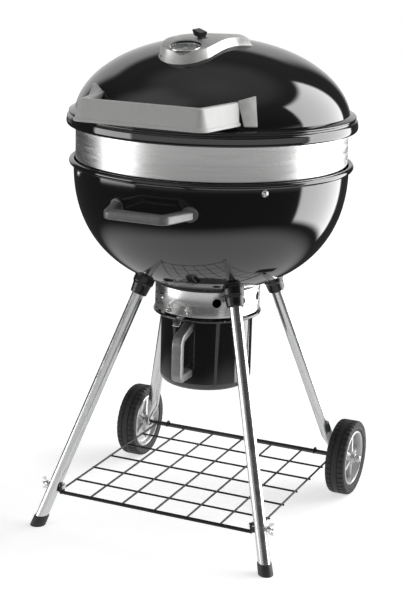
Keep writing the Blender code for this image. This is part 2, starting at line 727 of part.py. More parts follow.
def make_flap(name, side, hinge_z, rest_z):
    """A wing of the grate, hooked on its last rod and lifted to feed charcoal."""
    hinge_x = GRATE_RODS * GRATE_PITCH
    frame = add_empty("flap_hinge_" + name, (side * hinge_x, 0.0, hinge_z))
    rods = []
    for i in range(5):
        out = 0.0150 + 0.0190 * i
        reach = chord(GRATE_R - 0.010, hinge_x + out) - 0.004
        rods.append([(side * out, -reach, rest_z - hinge_z), (side * out, reach, rest_z - hinge_z)])
    flap = wires("grate_flap_" + name, rods, GRATE_WIRE_R, STEEL, frame)
    hook_r = 2 * GRATE_WIRE_R + GAP
    hooks = []
    for y in (-0.060, 0.060):
        hook = [(side * 0.0950, y, hook_r)]
        for i in range(4):
            angle = radians(90 + 30 * i)
            hook.append((side * hook_r * cos(angle), y, hook_r * sin(angle)))
        hooks.append(hook)
    unite(flap, wires("flap_hooks_" + name, hooks, GRATE_WIRE_R, None, frame, cutter=True))


def make_charcoal_grate():
    grate = wires("charcoal_grate", [circle(COAL_GRATE_R, COAL_GRATE_Z, GRATE_STEPS)], GRATE_WIRE_R,
                  DARK_STEEL, cyclic=True)
    rod_z = COAL_GRATE_Z + 1.7 * GRATE_WIRE_R
    rods = []
    for i in range(-5, 6):
        x = i * COAL_PITCH
        rods.append([(x, -chord(COAL_GRATE_R, x), rod_z), (x, chord(COAL_GRATE_R, x), rod_z)])
    unite(grate, wires("coal_rods", rods, GRATE_WIRE_R, None, cutter=True))
    bars = []
    for y in (-0.080, 0.080):
        bars.append([(-chord(COAL_GRATE_R, y), y, COAL_GRATE_Z), (chord(COAL_GRATE_R, y), y, COAL_GRATE_Z)])
    unite(grate, wires("coal_bars", bars, GRATE_WIRE_R, None, cutter=True))


# ------------------------------------------------------ ash clearing system
def make_lower_damper():
    """Blades that sweep the bowl's bottom, on a spindle with a lever below."""
    clearance = BOWL_SHEET + 0.0020
    thick = 0.0015
    lower, upper = [], []
    for radius in (DAMPER_REACH, 0.060, 0.030):
        lower.append((radius, bowl_height(radius, -clearance)))
        upper.append((radius, bowl_height(radius, -clearance) + thick))
    bottom = BOWL_RIM_Z - BOWL_DEPTH + clearance
    profile = [(0.0, bottom + thick), *reversed(upper), *lower, (0.0, bottom)]
    blades = turned("damper_blades", profile, DARK_STEEL, POT_STEPS, closed=False)
    for i in range(DAMPER_SLOTS):
        azimuth = 2 * pi * (i + 0.5) / DAMPER_SLOTS
        half = pi / DAMPER_SLOTS - radians(18)
        cut(blades, sector("blade_gap_%d" % i, half, 0.022, 0.11, azimuth, 0.47, 0.53))
    foot = 0.4840
    spindle_top = bottom - GAP
    spindle = [(0.0, spindle_top), (0.0040, spindle_top), (0.0040, foot), (0.0090, foot),
               (0.0090, foot - 0.004), (0.0, foot - 0.004)]
    lever = turned("damper_lever", spindle, BRIGHT_STEEL, SMALL_STEPS, closed=False)
    path = [(0.0, 0.4815), (0.0900, 0.4815), (0.0985, 0.4405), (0.1135, 0.4405), (0.1300, 0.4270)]
    points = [around(radius, LEVER_AZIMUTH, height) for radius, height in path]
    across = around(1.0, LEVER_AZIMUTH + pi / 2)
    section = bevelled_box(0.0018, 0.0150, 0.0002)
    unite(lever, swept("lever_strap", points, section, across, None, cutter=True))


def make_collar():
    inner = COLLAR_R - COLLAR_SHEET
    profile = [(inner, COLLAR_TOP_Z), (COLLAR_R, COLLAR_TOP_Z), (COLLAR_R, COLLAR_BOTTOM_Z),
               (inner, COLLAR_BOTTOM_Z)]
    collar = turned("ash_collar", profile, STEEL, POT_STEPS)
    for angle in COLLAR_HOLE_ANGLES:
        for side in (-1, 1):
            azimuth = radians(side * angle)
            start = around(inner - 0.0115, azimuth, COLLAR_HOLE_Z)
            end = around(COLLAR_R + 0.0120, azimuth, COLLAR_HOLE_Z)
            cut(collar, bored("collar_hole_%d" % (side * angle), COLLAR_HOLE_R, start, end))
    low = COLLAR_TOP_Z + GAP
    high = low + 0.0142
    ring_outer, ring_inner = COLLAR_R + 0.0025, inner - 0.0010
    profile = [(ring_inner, high), (ring_outer, high), (ring_outer, low), (ring_inner, low)]
    ring = turned("collar_ring", profile, BLACK_METAL, POT_STEPS)
    cut(ring, bowl_envelope("ring_trim"))


def make_pot():
    bottom = POT_BOTTOM_Z
    rim = [(POT_R - POT_SHEET, POT_RIM_Z), (0.1095, POT_RIM_Z), (POT_RIM_R, POT_RIM_Z - 0.0015),
           (POT_RIM_R, POT_RIM_Z - 0.0045), (0.1085, POT_RIM_Z - 0.0060), (POT_R + 0.001, POT_RIM_Z - 0.0060),
           (POT_R, POT_RIM_Z - 0.0090)]
    outer, inner = [], []
    for i in range(4):
        angle = pi / 2 * i / 3
        across, down = POT_CORNER_R * cos(angle), POT_CORNER_R * sin(angle)
        outer.append((POT_R - POT_CORNER_R + across, bottom + POT_CORNER_R - down))
        shrink = (POT_CORNER_R - POT_SHEET) / POT_CORNER_R
        inner.append((POT_R - POT_CORNER_R + across * shrink, bottom + POT_CORNER_R - down * shrink))
    inside = [(0.0, bottom + POT_SHEET)] + list(reversed(inner))
    turned("ash_pot", inside + rim + outer + [(0.0, bottom)], PORCELAIN, POT_STEPS, closed=False)
    wall = turned("pot_envelope", [(0.0, 0.50), (POT_R + GAP, 0.50), (POT_R + GAP, 0.25), (0.0, 0.25)], None,
                  POT_STEPS, closed=False, cutter=True)
    depth = 0.0180
    grip_y = -0.1430
    x, wall_y = 0.0015, -0.0900
    path = [(x, wall_y, 0.4200), (x, grip_y, 0.4020), (x, grip_y, 0.3215), (x, wall_y, 0.3215)]
    section = bevelled_box(depth, 0.0210, 0.0030)
    handle = swept("pot_handle", rounded_corners(path, 0.012), section, (1, 0, 0), DARK_GRIP)
    cut(handle, wall)
    shade_round(handle)


def make_latch():
    """A riveted plate on the collar, and the wire bail that swings on it."""
    strip = []
    for i in range(9):
        azimuth = LATCH_AZIMUTH + radians(-16 + 32 * i / 8)
        inner, outer = COLLAR_R + 0.0004, COLLAR_R + 0.0016
        strip.append([around(inner, azimuth, 0.4445), around(outer, azimuth, 0.4445),
                      around(outer, azimuth, 0.4655), around(inner, azimuth, 0.4655)])
    plate = lofted("latch_plate", strip, BRIGHT_STEEL)
    for side in (-1, 1):
        lug = block("latch_lug_%d" % side, (0.0030, 0.0090, 0.0080), (side * LATCH_HALF, -0.1113, LATCH_Z),
                    parent=LATCH_TURN)
        unite(plate, lug)
    reach = Vector((0.04, 0.0, 0.0))
    pivot = Vector((0.0, -LATCH_PIVOT_R, LATCH_Z))
    radius = clear_of(LATCH_WIRE_R, 8)
    cut(plate, bored("latch_pivot_hole", radius, pivot - reach, pivot + reach, LATCH_TURN, steps=8))
    end = LATCH_HALF + 0.0010
    side_x = LATCH_HALF - 0.0030
    path = [(-end, 0, 0), (-side_x, 0, 0), (-side_x + 0.001, 0, 0.0160), (-0.0080, 0, 0.0245),
            (0.0110, 0, 0.0215), (side_x - 0.001, 0, 0.0160), (side_x, 0, 0), (end, 0, 0)]
    wires("latch_wire", [path], LATCH_WIRE_R, BRIGHT_STEEL, LATCH_FRAME)


# -------------------------------------------------------------------- stand
def leg_axis(top, foot):
    return (top - foot).normalized()


def round_ring(centre, axis, radius, flat, count=12):
    """A ring of the tube: square to its axis, or cut level with the floor."""
    first = (Vector((1, 0, 0)) - axis * axis.x).normalized()
    second = axis.cross(first)
    if flat:
        first = first - axis * (first.z / axis.z)
        second = second - axis * (second.z / axis.z)
    ring = []
    for i in range(count):
        angle = 2 * pi * i / count
        ring.append(centre + (first * cos(angle) + second * sin(angle)) * radius)
    return ring


def tab_ring(centre, half_x, half_y, count=12):
    return [centre + Vector((half_x * cos(2 * pi * i / count), half_y * sin(2 * pi * i / count), 0))
            for i in range(count)]


def mirrored_x(point, side):
    return Vector((point.x * side, point.y, point.z))


def make_front_leg(side, name):
    top, foot = mirrored_x(LEG_TOP_FRONT, side), mirrored_x(LEG_FOOT_FRONT, side)
    axis = leg_axis(top, foot)
    end = foot + axis * (0.0095 / axis.z)
    rings = [round_ring(end, axis, TUBE_R, False), round_ring(top, axis, TUBE_R, False)]
    leg = lofted("leg_front_" + name, rings, ALUMINIUM)
    centre = foot + axis * (BOLT_Z / axis.z)
    reach = Vector((side * 0.03, 0, 0))
    cut(leg, bored("leg_bolt_hole_" + name, clear_of(BOLT_R, 8), centre - reach, centre + reach, steps=8))
    shade_round(leg)
    make_socket("front_" + name, top, axis)
    make_foot_cap(name, foot, end, axis)
    make_shelf_bolt(name, side, centre)


def make_foot_cap(name, foot, tube_end, axis):
    """A pushed-on cap, cut level with the floor, with a pocket for the tube."""
    brim = foot + axis * (FOOT_CAP_HEIGHT / axis.z)
    rings = [round_ring(foot, axis, FOOT_CAP_R, True), round_ring(brim, axis, FOOT_CAP_R - 0.0006, True)]
    cap = lofted("foot_cap_" + name, rings, BLACK_PLASTIC)
    pocket = []
    for place in (tube_end - axis * GAP, tube_end + axis * 0.05):
        pocket.append(round_ring(place, axis, TUBE_R + GAP, False))
    cut(cap, lofted("cap_pocket_" + name, pocket, None, cutter=True))
    shade_round(cap)


def make_rear_leg(side, name):
    top = mirrored_x(LEG_TOP_REAR, side)
    hub = mirrored_x(AXLE, side)
    axis = leg_axis(top, hub)
    low = hub + axis * ((0.128 - hub.z) / axis.z)
    rings = [
        tab_ring(Vector((hub.x, hub.y + 0.001, hub.z - 0.0145)), LEG_TAB_HALF, 0.0105),
        tab_ring(Vector((hub.x, hub.y, hub.z - 0.008)), LEG_TAB_HALF, 0.0140),
        tab_ring(Vector((hub.x, hub.y, hub.z + 0.010)), LEG_TAB_HALF, 0.0145),
        round_ring(low, axis, TUBE_R, True),
        round_ring(top, axis, TUBE_R, False),
    ]
    if side < 0:
        rings[:3] = [[Vector((2 * hub.x - p.x, p.y, p.z)) for p in ring] for ring in rings[:3]]
        rings[:3] = [mirror_order(ring) for ring in rings[:3]]
    leg = lofted("leg_rear_" + name, rings, ALUMINIUM)
    reach = Vector((0.02, 0, 0))
    cut(leg, bored("leg_axle_hole_" + name, AXLE_R + GAP, hub - reach, hub + reach, steps=12))
    shade_round(leg)
    make_socket("rear_" + name, top, axis)


def mirror_order(ring):
    """Start a mirrored ring again at its +X point, keeping its direction."""
    half = len(ring) // 2
    turned_round = ring[half:] + ring[:half]
    return [turned_round[0]] + turned_round[:0:-1]


def make_socket(name, top, axis):
    """A moulded cup that holds the leg's top against the bowl."""
    turn = axis.to_track_quat("Z", "Y").to_matrix()
    frame = add_empty("socket_frame_" + name, top, turn)
    bore = clear_of(TUBE_R, SMALL_STEPS)
    profile = [(0.0, 0.024), (0.0215, 0.024), (0.0215, -0.002), (0.0185, -0.006), (0.0165, -0.026),
               (bore, -0.026), (bore, GAP), (0.0, GAP)]
    socket = turned("leg_socket_" + name, profile, BLACK_PLASTIC, SMALL_STEPS, frame, closed=False)
    cut(socket, bowl_envelope("socket_trim_" + name))


def make_shelf_bolt(name, side, centre):
    """Bolt through the shelf tab and the front leg, with its wing nut."""
    frame = add_empty("bolt_frame_" + name, centre, Matrix.Rotation(side * pi / 2, 3, "Y"))
    tab = SHELF_TAB_X - abs(centre.x) - 0.0030 - GAP
    tip = 0.0280
    head_r, head = 0.0052, tab - 0.0034
    bolt = [(0.0, tip), (BOLT_R, tip), (BOLT_R, tab), (head_r, tab), (head_r, head), (0.0, head)]
    turned("shelf_bolt_" + name, bolt, STEEL, SMALL_STEPS, frame, closed=False)
    near, far = 0.0156, 0.0225
    flange_r, bore = 0.0062, BOLT_R + GAP
    boss = [(0.0040, far), (flange_r, near + 0.003), (flange_r, near), (bore, near), (bore, far)]
    nut = turned("wing_nut_" + name, boss, STEEL, SMALL_STEPS, frame)
    half = 0.0011
    for wing in (-1, 1):
        rings = []
        for out, low, high in ((0.0045, near + 0.001, near + 0.006), (0.0120, near + 0.005, near + 0.013)):
            section = ((-half, low), (half, low), (half, high), (-half, high))
            rings.append([Vector((wing * out, y, z)) for y, z in section])
        unite(nut, lofted("nut_wing_%s_%d" % (name, wing), rings, None, frame, cutter=True))


def make_shelf():
    """Welded wire shelf: two rails, a grid of wires, bolt tabs and axle eyes."""
    step_x = 2 * SHELF_HALF_X / SHELF_CELLS
    step_y = (SHELF_REAR_Y - SHELF_FRONT_Y) / SHELF_CELLS
    long_wires = []
    for i in range(SHELF_CELLS + 1):
        x = -SHELF_HALF_X + i * step_x
        long_wires.append([(x, SHELF_FRONT_Y, SHELF_Z), (x, SHELF_REAR_Y + SHELF_STUB, SHELF_Z)])
    shelf = wires("wire_shelf", long_wires, SHELF_WIRE_R, BLACK_WIRE)
    reach = SHELF_HALF_X + SHELF_STUB
    drop = SHELF_Z - 0.6 * SHELF_WIRE_R
    cross_wires = []
    for i in range(1, SHELF_CELLS):
        y = SHELF_FRONT_Y + i * step_y
        cross_wires.append([(-reach, y, drop), (reach, y, drop)])
    unite(shelf, wires("shelf_cross_wires", cross_wires, SHELF_WIRE_R, None, cutter=True))
    rail_end = SHELF_TAB_X - 0.0015
    rails = [[(-rail_end, SHELF_FRONT_Y, SHELF_Z), (rail_end, SHELF_FRONT_Y, SHELF_Z)],
             [(-SHELF_HALF_X - 0.002, SHELF_REAR_Y, SHELF_Z), (SHELF_HALF_X + 0.002, SHELF_REAR_Y, SHELF_Z)]]
    unite(shelf, wires("shelf_rails", rails, SHELF_RAIL_R, None, cutter=True))
    leg_line = LEG_FOOT_FRONT.lerp(LEG_TOP_FRONT, BOLT_Z / LEG_TOP_FRONT.z)
    for side in (-1, 1):
        tab = block("shelf_tab_%d" % side, (0.0030, 0.0180, 0.0215),
                    (side * (SHELF_TAB_X - 0.0015), leg_line.y, SHELF_Z + 0.0060))
        unite(shelf, tab)
        hole = bored("tab_hole_%d" % side, clear_of(BOLT_R, 8), (side * 0.20, leg_line.y, BOLT_Z),
                     (side * 0.225, leg_line.y, BOLT_Z), steps=8)
        cut(shelf, hole)
    eyes = []
    around_axle = AXLE_R + GAP + SHELF_WIRE_R + 0.0004
    for side in (-1, 1):
        x = side * 0.5 * (SHELF_HALF_X + SHELF_HALF_X - step_x)
        eye = [(x, SHELF_REAR_Y, SHELF_Z), (x, AXLE.y + around_axle, AXLE.z - 0.004)]
        for i in range(7):
            angle = pi * i / 6
            eye.append((x, AXLE.y + around_axle * cos(angle), AXLE.z + around_axle * sin(angle)))
        eye.append((x, AXLE.y - around_axle, AXLE.z - 0.0045))
        eyes.append(eye)
    unite(shelf, wires("shelf_eyes", eyes, SHELF_WIRE_R, None, cutter=True))


# ------------------------------------------------------------------- wheels
def make_axle():
    half = WHEEL_INNER_X + WHEEL_WIDTH + 0.0105
    frame = add_empty("axle_frame", (0.0, AXLE.y, AXLE.z), Matrix.Rotation(pi / 2, 3, "Y"))
    profile = [(0.0, half), (AXLE_R, half), (AXLE_R, -half), (0.0, -half)]
    turned("axle", profile, BLACK_METAL, SMALL_STEPS, frame, closed=False)


def make_wheel(side, name):
    """Tyre, spoked hub and the push-on cap that keeps them on the axle."""
    frame = add_empty("wheel_frame_" + name, (side * WHEEL_INNER_X, AXLE.y, AXLE.z),
                      Matrix.Rotation(side * pi / 2, 3, "Y"))
    width = WHEEL_WIDTH
    shoulder = 0.0060
    seat = RIM_SEAT_R + GAP
    tyre = [
        (RIM_SEAT_R + 0.004, width - 0.0015), (WHEEL_R - shoulder, width),
        (WHEEL_R - 0.0018, width - 0.0025), (WHEEL_R, width - shoulder), (WHEEL_R, shoulder),
        (WHEEL_R - 0.0018, 0.0025), (WHEEL_R - shoulder, 0.0), (RIM_SEAT_R + 0.004, 0.0015),
        (seat, 0.0040), (seat, width - 0.0040),
    ]
    turned("tyre_" + name, tyre, RUBBER, WHEEL_STEPS, frame)
    rim = RIM_SEAT_R
    dish = width * 0.45
    bore = AXLE_R + GAP
    hub = [
        (rim - 0.0040, width - 0.0030), (rim, width - 0.0045), (rim, 0.0045), (rim - 0.0040, 0.0030),
        (rim - 0.0065, 0.0060), (rim - 0.0085, dish - 0.0060), (0.0130, dish - 0.0060), (0.0120, 0.0005),
        (bore, 0.0005), (bore, width + 0.0010), (0.0100, width + 0.0010), (0.0130, width - 0.0060),
        (0.0160, dish + 0.0020), (rim - 0.0085, dish - 0.0030), (rim - 0.0060, width - 0.0060),
    ]
    wheel = turned("wheel_hub_" + name, hub, HUB_GREY, WHEEL_STEPS, frame)
    stations = ((0.0105, 0.0062, 0.0060, width - 0.0075), (rim - 0.0050, 0.0046, 0.0100, width - 0.0120))
    for i in range(SPOKES):
        angle = 2 * pi * i / SPOKES + radians(18)
        outwards = Vector((cos(angle), sin(angle), 0))
        sideways = Vector((-sin(angle), cos(angle), 0))
        rings = []
        for radius, half, low, high in stations:
            corners = ((-half, low), (half, low), (half * 0.45, high), (-half * 0.45, high))
            rings.append([outwards * radius + sideways * across + Vector((0, 0, height))
                          for across, height in corners])
        unite(wheel, lofted("spoke_%s_%d" % (name, i), rings, None, frame, cutter=True))
    cap_low = width + 0.0010 + GAP
    grip = AXLE_R + GAP
    cap = [(0.0, width + 0.0125), (0.0050, width + 0.0118), (0.0078, width + 0.0090), (0.0085, cap_low),
           (grip, cap_low), (grip, width + 0.0110), (0.0, width + 0.0110)]
    turned("axle_cap_" + name, cap, HUB_GREY, SMALL_STEPS, frame, closed=False)


# --------------------------------------------------------------------- build
clear_scene()
ORIGIN = bpy.data.objects.new("grill_origin", None)
GRILL.objects.link(ORIGIN)
ORIGIN.location = (0.0, AXIS_Y, 0.0)

PORCELAIN = finish_of("black_porcelain", (0.012, 0.012, 0.013), 0.12, 0.0)
STEEL = finish_of("brushed_steel", (0.62, 0.62, 0.61), 0.32, 1.0)
BRIGHT_STEEL = finish_of("bright_steel", (0.80, 0.80, 0.79), 0.25, 1.0)
DARK_STEEL = finish_of("dark_steel", (0.20, 0.20, 0.20), 0.50, 1.0)
ALUMINIUM = finish_of("polished_aluminium", (0.78, 0.79, 0.80), 0.20, 1.0)
SATIN = finish_of("satin_casting", (0.66, 0.66, 0.65), 0.35, 1.0)
GRIP = finish_of("silver_grip", (0.42, 0.42, 0.41), 0.38, 0.6)
DARK_GRIP = finish_of("grey_grip", (0.11, 0.11, 0.11), 0.45, 0.1)
BLACK_METAL = finish_of("black_metal", (0.02, 0.02, 0.02), 0.35, 0.2)
BLACK_WIRE = finish_of("black_wire", (0.015, 0.015, 0.015), 0.30, 0.2)
BLACK_PLASTIC = finish_of("black_plastic", (0.02, 0.02, 0.02), 0.45, 0.0)
RUBBER = finish_of("tyre_rubber", (0.03, 0.03, 0.03), 0.70, 0.0)
HUB_GREY = finish_of("hub_grey", (0.36, 0.36, 0.36), 0.35, 0.3)
DIAL_FACE = finish_of("dial_face", (0.03, 0.03, 0.03), 0.40, 0.0)
GLASS = finish_of("gauge_glass", (0.85, 0.88, 0.88), 0.05, 0.0)
NEEDLE = finish_of("needle_white", (0.80, 0.80, 0.78), 0.40, 0.0)

CORNER_NAMES = ("front_right", "rear_right", "rear_left", "front_left")
BRACKET_ANGLES = tuple(radians(45 + 90 * i) for i in range(4))
SHELF_TAB_X = (LEG_FOOT_FRONT.lerp(LEG_TOP_FRONT, BOLT_Z / LEG_TOP_FRONT.z)).x - 0.0155

VENT_SLOT_PLACES = (0.0330, 0.0550)
VENT_SLOT_HALF = 0.0110
VENT_SLOT_LENGTH = 0.0100
VENT_TRAVEL = 0.0110
KNOB_PLACE = 0.0260
KNOB_SLOT_LENGTH = VENT_TRAVEL + 0.0095
VENT_SEAT = 0.0400      # from the round end's centre to where the cover is level with the dome
VENT_MIDDLE = Vector((VENT_X + VENT_SEAT * sin(VENT_TURN), VENT_Y + VENT_SEAT * cos(VENT_TURN), 0.0))
VENT_NORMAL = lid_normal(VENT_MIDDLE.x, VENT_MIDDLE.y)
VENT_LEVEL = Vector((sin(VENT_TURN), cos(VENT_TURN), 0.0))
VENT_FORWARD = (VENT_LEVEL - VENT_NORMAL * VENT_LEVEL.dot(VENT_NORMAL)).normalized()
VENT_MIDDLE.z = lid_height(VENT_MIDDLE.x, VENT_MIDDLE.y)
VENT_ACROSS = VENT_FORWARD.cross(VENT_NORMAL)
VENT_ROTATION = Matrix((VENT_ACROSS, VENT_FORWARD, VENT_NORMAL)).transposed()
VENT_FRAME = add_empty("vent_frame", VENT_MIDDLE - VENT_FORWARD * VENT_SEAT, VENT_ROTATION)

DIAL_AXIS = Vector((0.0, -sin(DIAL_TILT), cos(DIAL_TILT)))
DIAL_FRAME_PLACE = Vector((DIAL_X, DIAL_Y, lid_height(DIAL_X, DIAL_Y)))
DIAL_FRAME = add_empty("dial_frame", DIAL_FRAME_PLACE, Matrix.Rotation(DIAL_TILT, 3, "X"))
GAUGE_TOP = 0.0170

LATCH_TURN = add_empty("latch_turn", (0.0, 0.0, 0.0), Matrix.Rotation(LATCH_AZIMUTH, 3, "Z"))
LATCH_FRAME = add_empty("latch_pivot", around(LATCH_PIVOT_R, LATCH_AZIMUTH, LATCH_Z),
                        Matrix.Rotation(LATCH_AZIMUTH, 3, "Z"))

make_bowl()
make_band()
make_lid()
make_grate_supports()
make_lid_handle()
make_bowl_handle()
make_vent_cover()
make_vent_slider()
make_gauge()
make_cooking_grate()
make_charcoal_grate()
make_lower_damper()
make_collar()
make_pot()
make_latch()
for SIDE, NAME in ((-1, "left"), (1, "right")):
    make_front_leg(SIDE, NAME)
    make_rear_leg(SIDE, NAME)
    make_wheel(SIDE, NAME)
make_shelf()
make_axle()
bpy.context.view_layer.update()
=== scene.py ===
"""Looks of the kettle charcoal grill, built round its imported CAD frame.

Lengths are metres in the row's frame: +Z up, the handles towards -Y. Every
turned part of the kettle shares one upright axis, which stands at AXIS_Y.
"""

import json
from math import cos, pi, radians, sin, sqrt, tau

import bmesh
import bpy
from mathutils import Matrix, Vector

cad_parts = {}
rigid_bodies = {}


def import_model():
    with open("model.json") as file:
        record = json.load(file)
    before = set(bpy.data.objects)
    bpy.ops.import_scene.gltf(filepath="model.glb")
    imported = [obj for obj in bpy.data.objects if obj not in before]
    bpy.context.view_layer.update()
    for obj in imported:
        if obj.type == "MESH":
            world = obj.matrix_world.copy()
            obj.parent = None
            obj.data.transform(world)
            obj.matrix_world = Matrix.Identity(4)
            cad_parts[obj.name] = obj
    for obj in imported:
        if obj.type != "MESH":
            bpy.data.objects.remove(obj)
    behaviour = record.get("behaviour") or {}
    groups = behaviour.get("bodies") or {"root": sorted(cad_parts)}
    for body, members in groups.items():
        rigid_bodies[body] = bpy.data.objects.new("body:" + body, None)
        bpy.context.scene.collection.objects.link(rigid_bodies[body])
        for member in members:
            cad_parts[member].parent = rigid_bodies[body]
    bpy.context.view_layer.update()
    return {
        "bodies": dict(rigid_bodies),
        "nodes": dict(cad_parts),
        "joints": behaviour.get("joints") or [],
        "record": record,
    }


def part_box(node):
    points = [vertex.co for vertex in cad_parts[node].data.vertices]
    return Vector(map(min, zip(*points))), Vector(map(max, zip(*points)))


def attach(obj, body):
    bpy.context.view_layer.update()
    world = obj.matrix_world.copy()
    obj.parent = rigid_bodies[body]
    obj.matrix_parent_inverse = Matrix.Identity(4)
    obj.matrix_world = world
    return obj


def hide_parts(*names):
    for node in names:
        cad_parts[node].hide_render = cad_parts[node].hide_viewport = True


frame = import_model()

# ------------------------------------------------------ sizes from the frame
LID_LOW, LID_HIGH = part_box("lid_shell")
BAND_LOW, BAND_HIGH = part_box("steel_band")
BOWL_LOW, BOWL_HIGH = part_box("bowl_shell")
COLLAR_LOW, COLLAR_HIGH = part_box("ash_collar")
POT_LOW, POT_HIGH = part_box("ash_pot")
RING_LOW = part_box("collar_ring")[0]
SHELF_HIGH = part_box("wire_shelf")[1]
TYRE_LOW, TYRE_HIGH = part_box("tyre_right")

AXIS_Y = (BAND_LOW.y + BAND_HIGH.y) / 2
BAND_R = BAND_HIGH.x
LID_RIM_R = LID_HIGH.x
LID_R = LID_RIM_R - 0.0152
LID_BASE_Z = BAND_HIGH.z + 0.0005
LID_RISE = LID_HIGH.z - LID_BASE_Z
LID_SHEET = 0.0015
BOWL_BEAD_R = 0.0060
BOWL_BEAD_MID_R = BOWL_HIGH.x - BOWL_BEAD_R
BOWL_R = BOWL_BEAD_MID_R - 0.0031
BOWL_RIM_Z = BOWL_HIGH.z - 2 * BOWL_BEAD_R
BOWL_DEPTH = BOWL_RIM_Z - BOWL_LOW.z
BOWL_POWER = 2.27  # its section is a superellipse, a little fuller than round
BOWL_SHEET = 0.0015
COLLAR_R = COLLAR_HIGH.x
POT_RIM_R = POT_HIGH.x
POT_R = POT_RIM_R - 0.0167
WHEEL_R = (TYRE_HIGH.z - TYRE_LOW.z) / 2
WHEEL_WIDTH = TYRE_HIGH.x - TYRE_LOW.x
WHEEL_INNER_X = TYRE_LOW.x
AXLE_Y = (TYRE_LOW.y + TYRE_HIGH.y) / 2
AXLE_Z = (TYRE_LOW.z + TYRE_HIGH.z) / 2
SHELF_WIRE_R = 0.0021
SHELF_RAIL_R = 0.0038
TUBE_R = 0.0125

# --------------------------------------------------------- smoothness of mesh
KETTLE_STEPS = 144
POT_STEPS = 96
SMALL_STEPS = 40
WIRE_SIDES = 12


# ------------------------------------------------------------------- frames
def shifted(*point):
    return Matrix.Translation(point)


def spun(angle, axis="Z"):
    return Matrix.Rotation(angle, 4, axis)


def facing(direction):
    """The turn that brings +Z to a direction."""
    return direction.to_track_quat("Z", "Y").to_matrix().to_4x4()


KETTLE = shifted(0.0, AXIS_Y, 0.0)


# --------------------------------------------------------------- mesh tools
def add_mesh(name, points, faces, material, angle=32.0):
    mesh = bpy.data.meshes.new(name)
    mesh.from_pydata([tuple(p) for p in points], [], faces)
    bm = bmesh.new()
    bm.from_mesh(mesh)
    bmesh.ops.remove_doubles(bm, verts=bm.verts, dist=1e-6)
    bmesh.ops.recalc_face_normals(bm, faces=bm.faces)
    bm.to_mesh(mesh)
    bm.free()
    mesh.shade_smooth()
    mesh.set_sharp_from_angle(angle=radians(angle))
    piece = bpy.data.objects.new(name, mesh)
    bpy.context.scene.collection.objects.link(piece)
    if material is not None:
        mesh.materials.append(material)
    return piece


def belongs(piece, body, slot, *nodes):
    """Hang a piece on its body and hide what it stands for; its slot argument is not used."""
    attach(piece, body)
    if nodes:
        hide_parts(*nodes)
    return piece


def revolve(profile, steps, closed):
    """Points and faces of (radius, height) points turned about Z."""
    points, rings = [], []
    for radius, height in profile:
        if radius < 1e-7:
            rings.append([len(points)])
            points.append(Vector((0.0, 0.0, height)))
            continue
        rings.append(list(range(len(points), len(points) + steps)))
        for i in range(steps):
            angle = tau * i / steps
            points.append(Vector((radius * cos(angle), radius * sin(angle), height)))
    pairs = list(zip(rings, rings[1:]))
    if closed:
        pairs.append((rings[-1], rings[0]))
    faces = []
    for near, far in pairs:
        if len(near) == 1 and len(far) == 1:
            continue
        for i in range(steps):
            j = (i + 1) % steps
            if len(near) == 1:
                faces.append((near[0], far[i], far[j]))
            elif len(far) == 1:
                faces.append((near[i], far[0], near[j]))
            else:
                faces.append((near[i], far[i], far[j], near[j]))
    return points, faces


def turned(name, profile, material, steps=SMALL_STEPS, place=KETTLE, closed=True, angle=32.0):
    return add_mesh(name, *moved(revolve(profile, steps, closed), place), material, angle)


def skinned(rings, caps=True, cyclic=False):
    """Points and faces of equal rings joined one after another."""
    count = len(rings[0])
    points = [p for ring in rings for p in ring]
    faces = []
    pairs = len(rings) if cyclic else len(rings) - 1
    for k in range(pairs):
        near, far = k * count, ((k + 1) % len(rings)) * count
        for i in range(count):
            j = (i + 1) % count
            faces.append((near + i, near + j, far + j, far + i))
    if caps and not cyclic:
        faces.append(tuple(range(count - 1, -1, -1)))
        faces.append(tuple(range(len(points) - count, len(points))))
    return points, faces


def moved(parts, place):
    points, faces = parts
    return [place @ Vector(p) for p in points], faces


def levelled(outline, *levels):
    """Rings of a flat outline at several heights."""
    return [[Vector((p[0], p[1], z)) for p in outline] for z in levels]


def merged(parts):
    """Several (points, faces) as one."""
    points, faces = [], []
    for more, added in parts:
        base = len(points)
        points.extend(more)
        faces.extend(tuple(base + i for i in face) for face in added)
    return points, faces


def softened(points, reach, count=4, closed=True):
    """Replace each corner of an outline by a short curve."""
    points = [Vector(p) for p in points]
    total = len(points)
    result = []
    for i, corner in enumerate(points):
        if not closed and i in (0, total - 1):
            result.append(corner)
            continue
        before, after = points[i - 1], points[(i + 1) % total]
        size = reach[i] if isinstance(reach, (list, tuple)) else reach
        near = min(size, (before - corner).length * 0.48)
        far = min(size, (after - corner).length * 0.48)
        if min(near, far) < 1e-6:
            result.append(corner)
            continue
        start = corner + (before - corner).normalized() * near
        end = corner + (after - corner).normalized() * far
        for k in range(count + 1):
            t = k / count
            result.append(start * (1 - t) ** 2 + corner * (2 * t * (1 - t)) + end * t * t)
    return result


def rounded(points, reach, count=4, closed=True):
    """A softened outline as plain pairs of numbers."""
    return [(p[0], p[1]) for p in softened(points, reach, count, closed)]


def held(profile, hold=0.0010, straight=0.0120):
    """The profile with a point just inside both ends of each long straight
    stretch, so that smooth shading doesn't bend the light there."""
    result = []
    for near, far in zip(profile, profile[1:] + profile[:1]):
        result.append(near)
        near, far = Vector(near), Vector(far)
        length = (far - near).length
        if length > straight:
            result += [tuple(near.lerp(far, part)) for part in (hold / length, 1 - hold / length)]
    return result


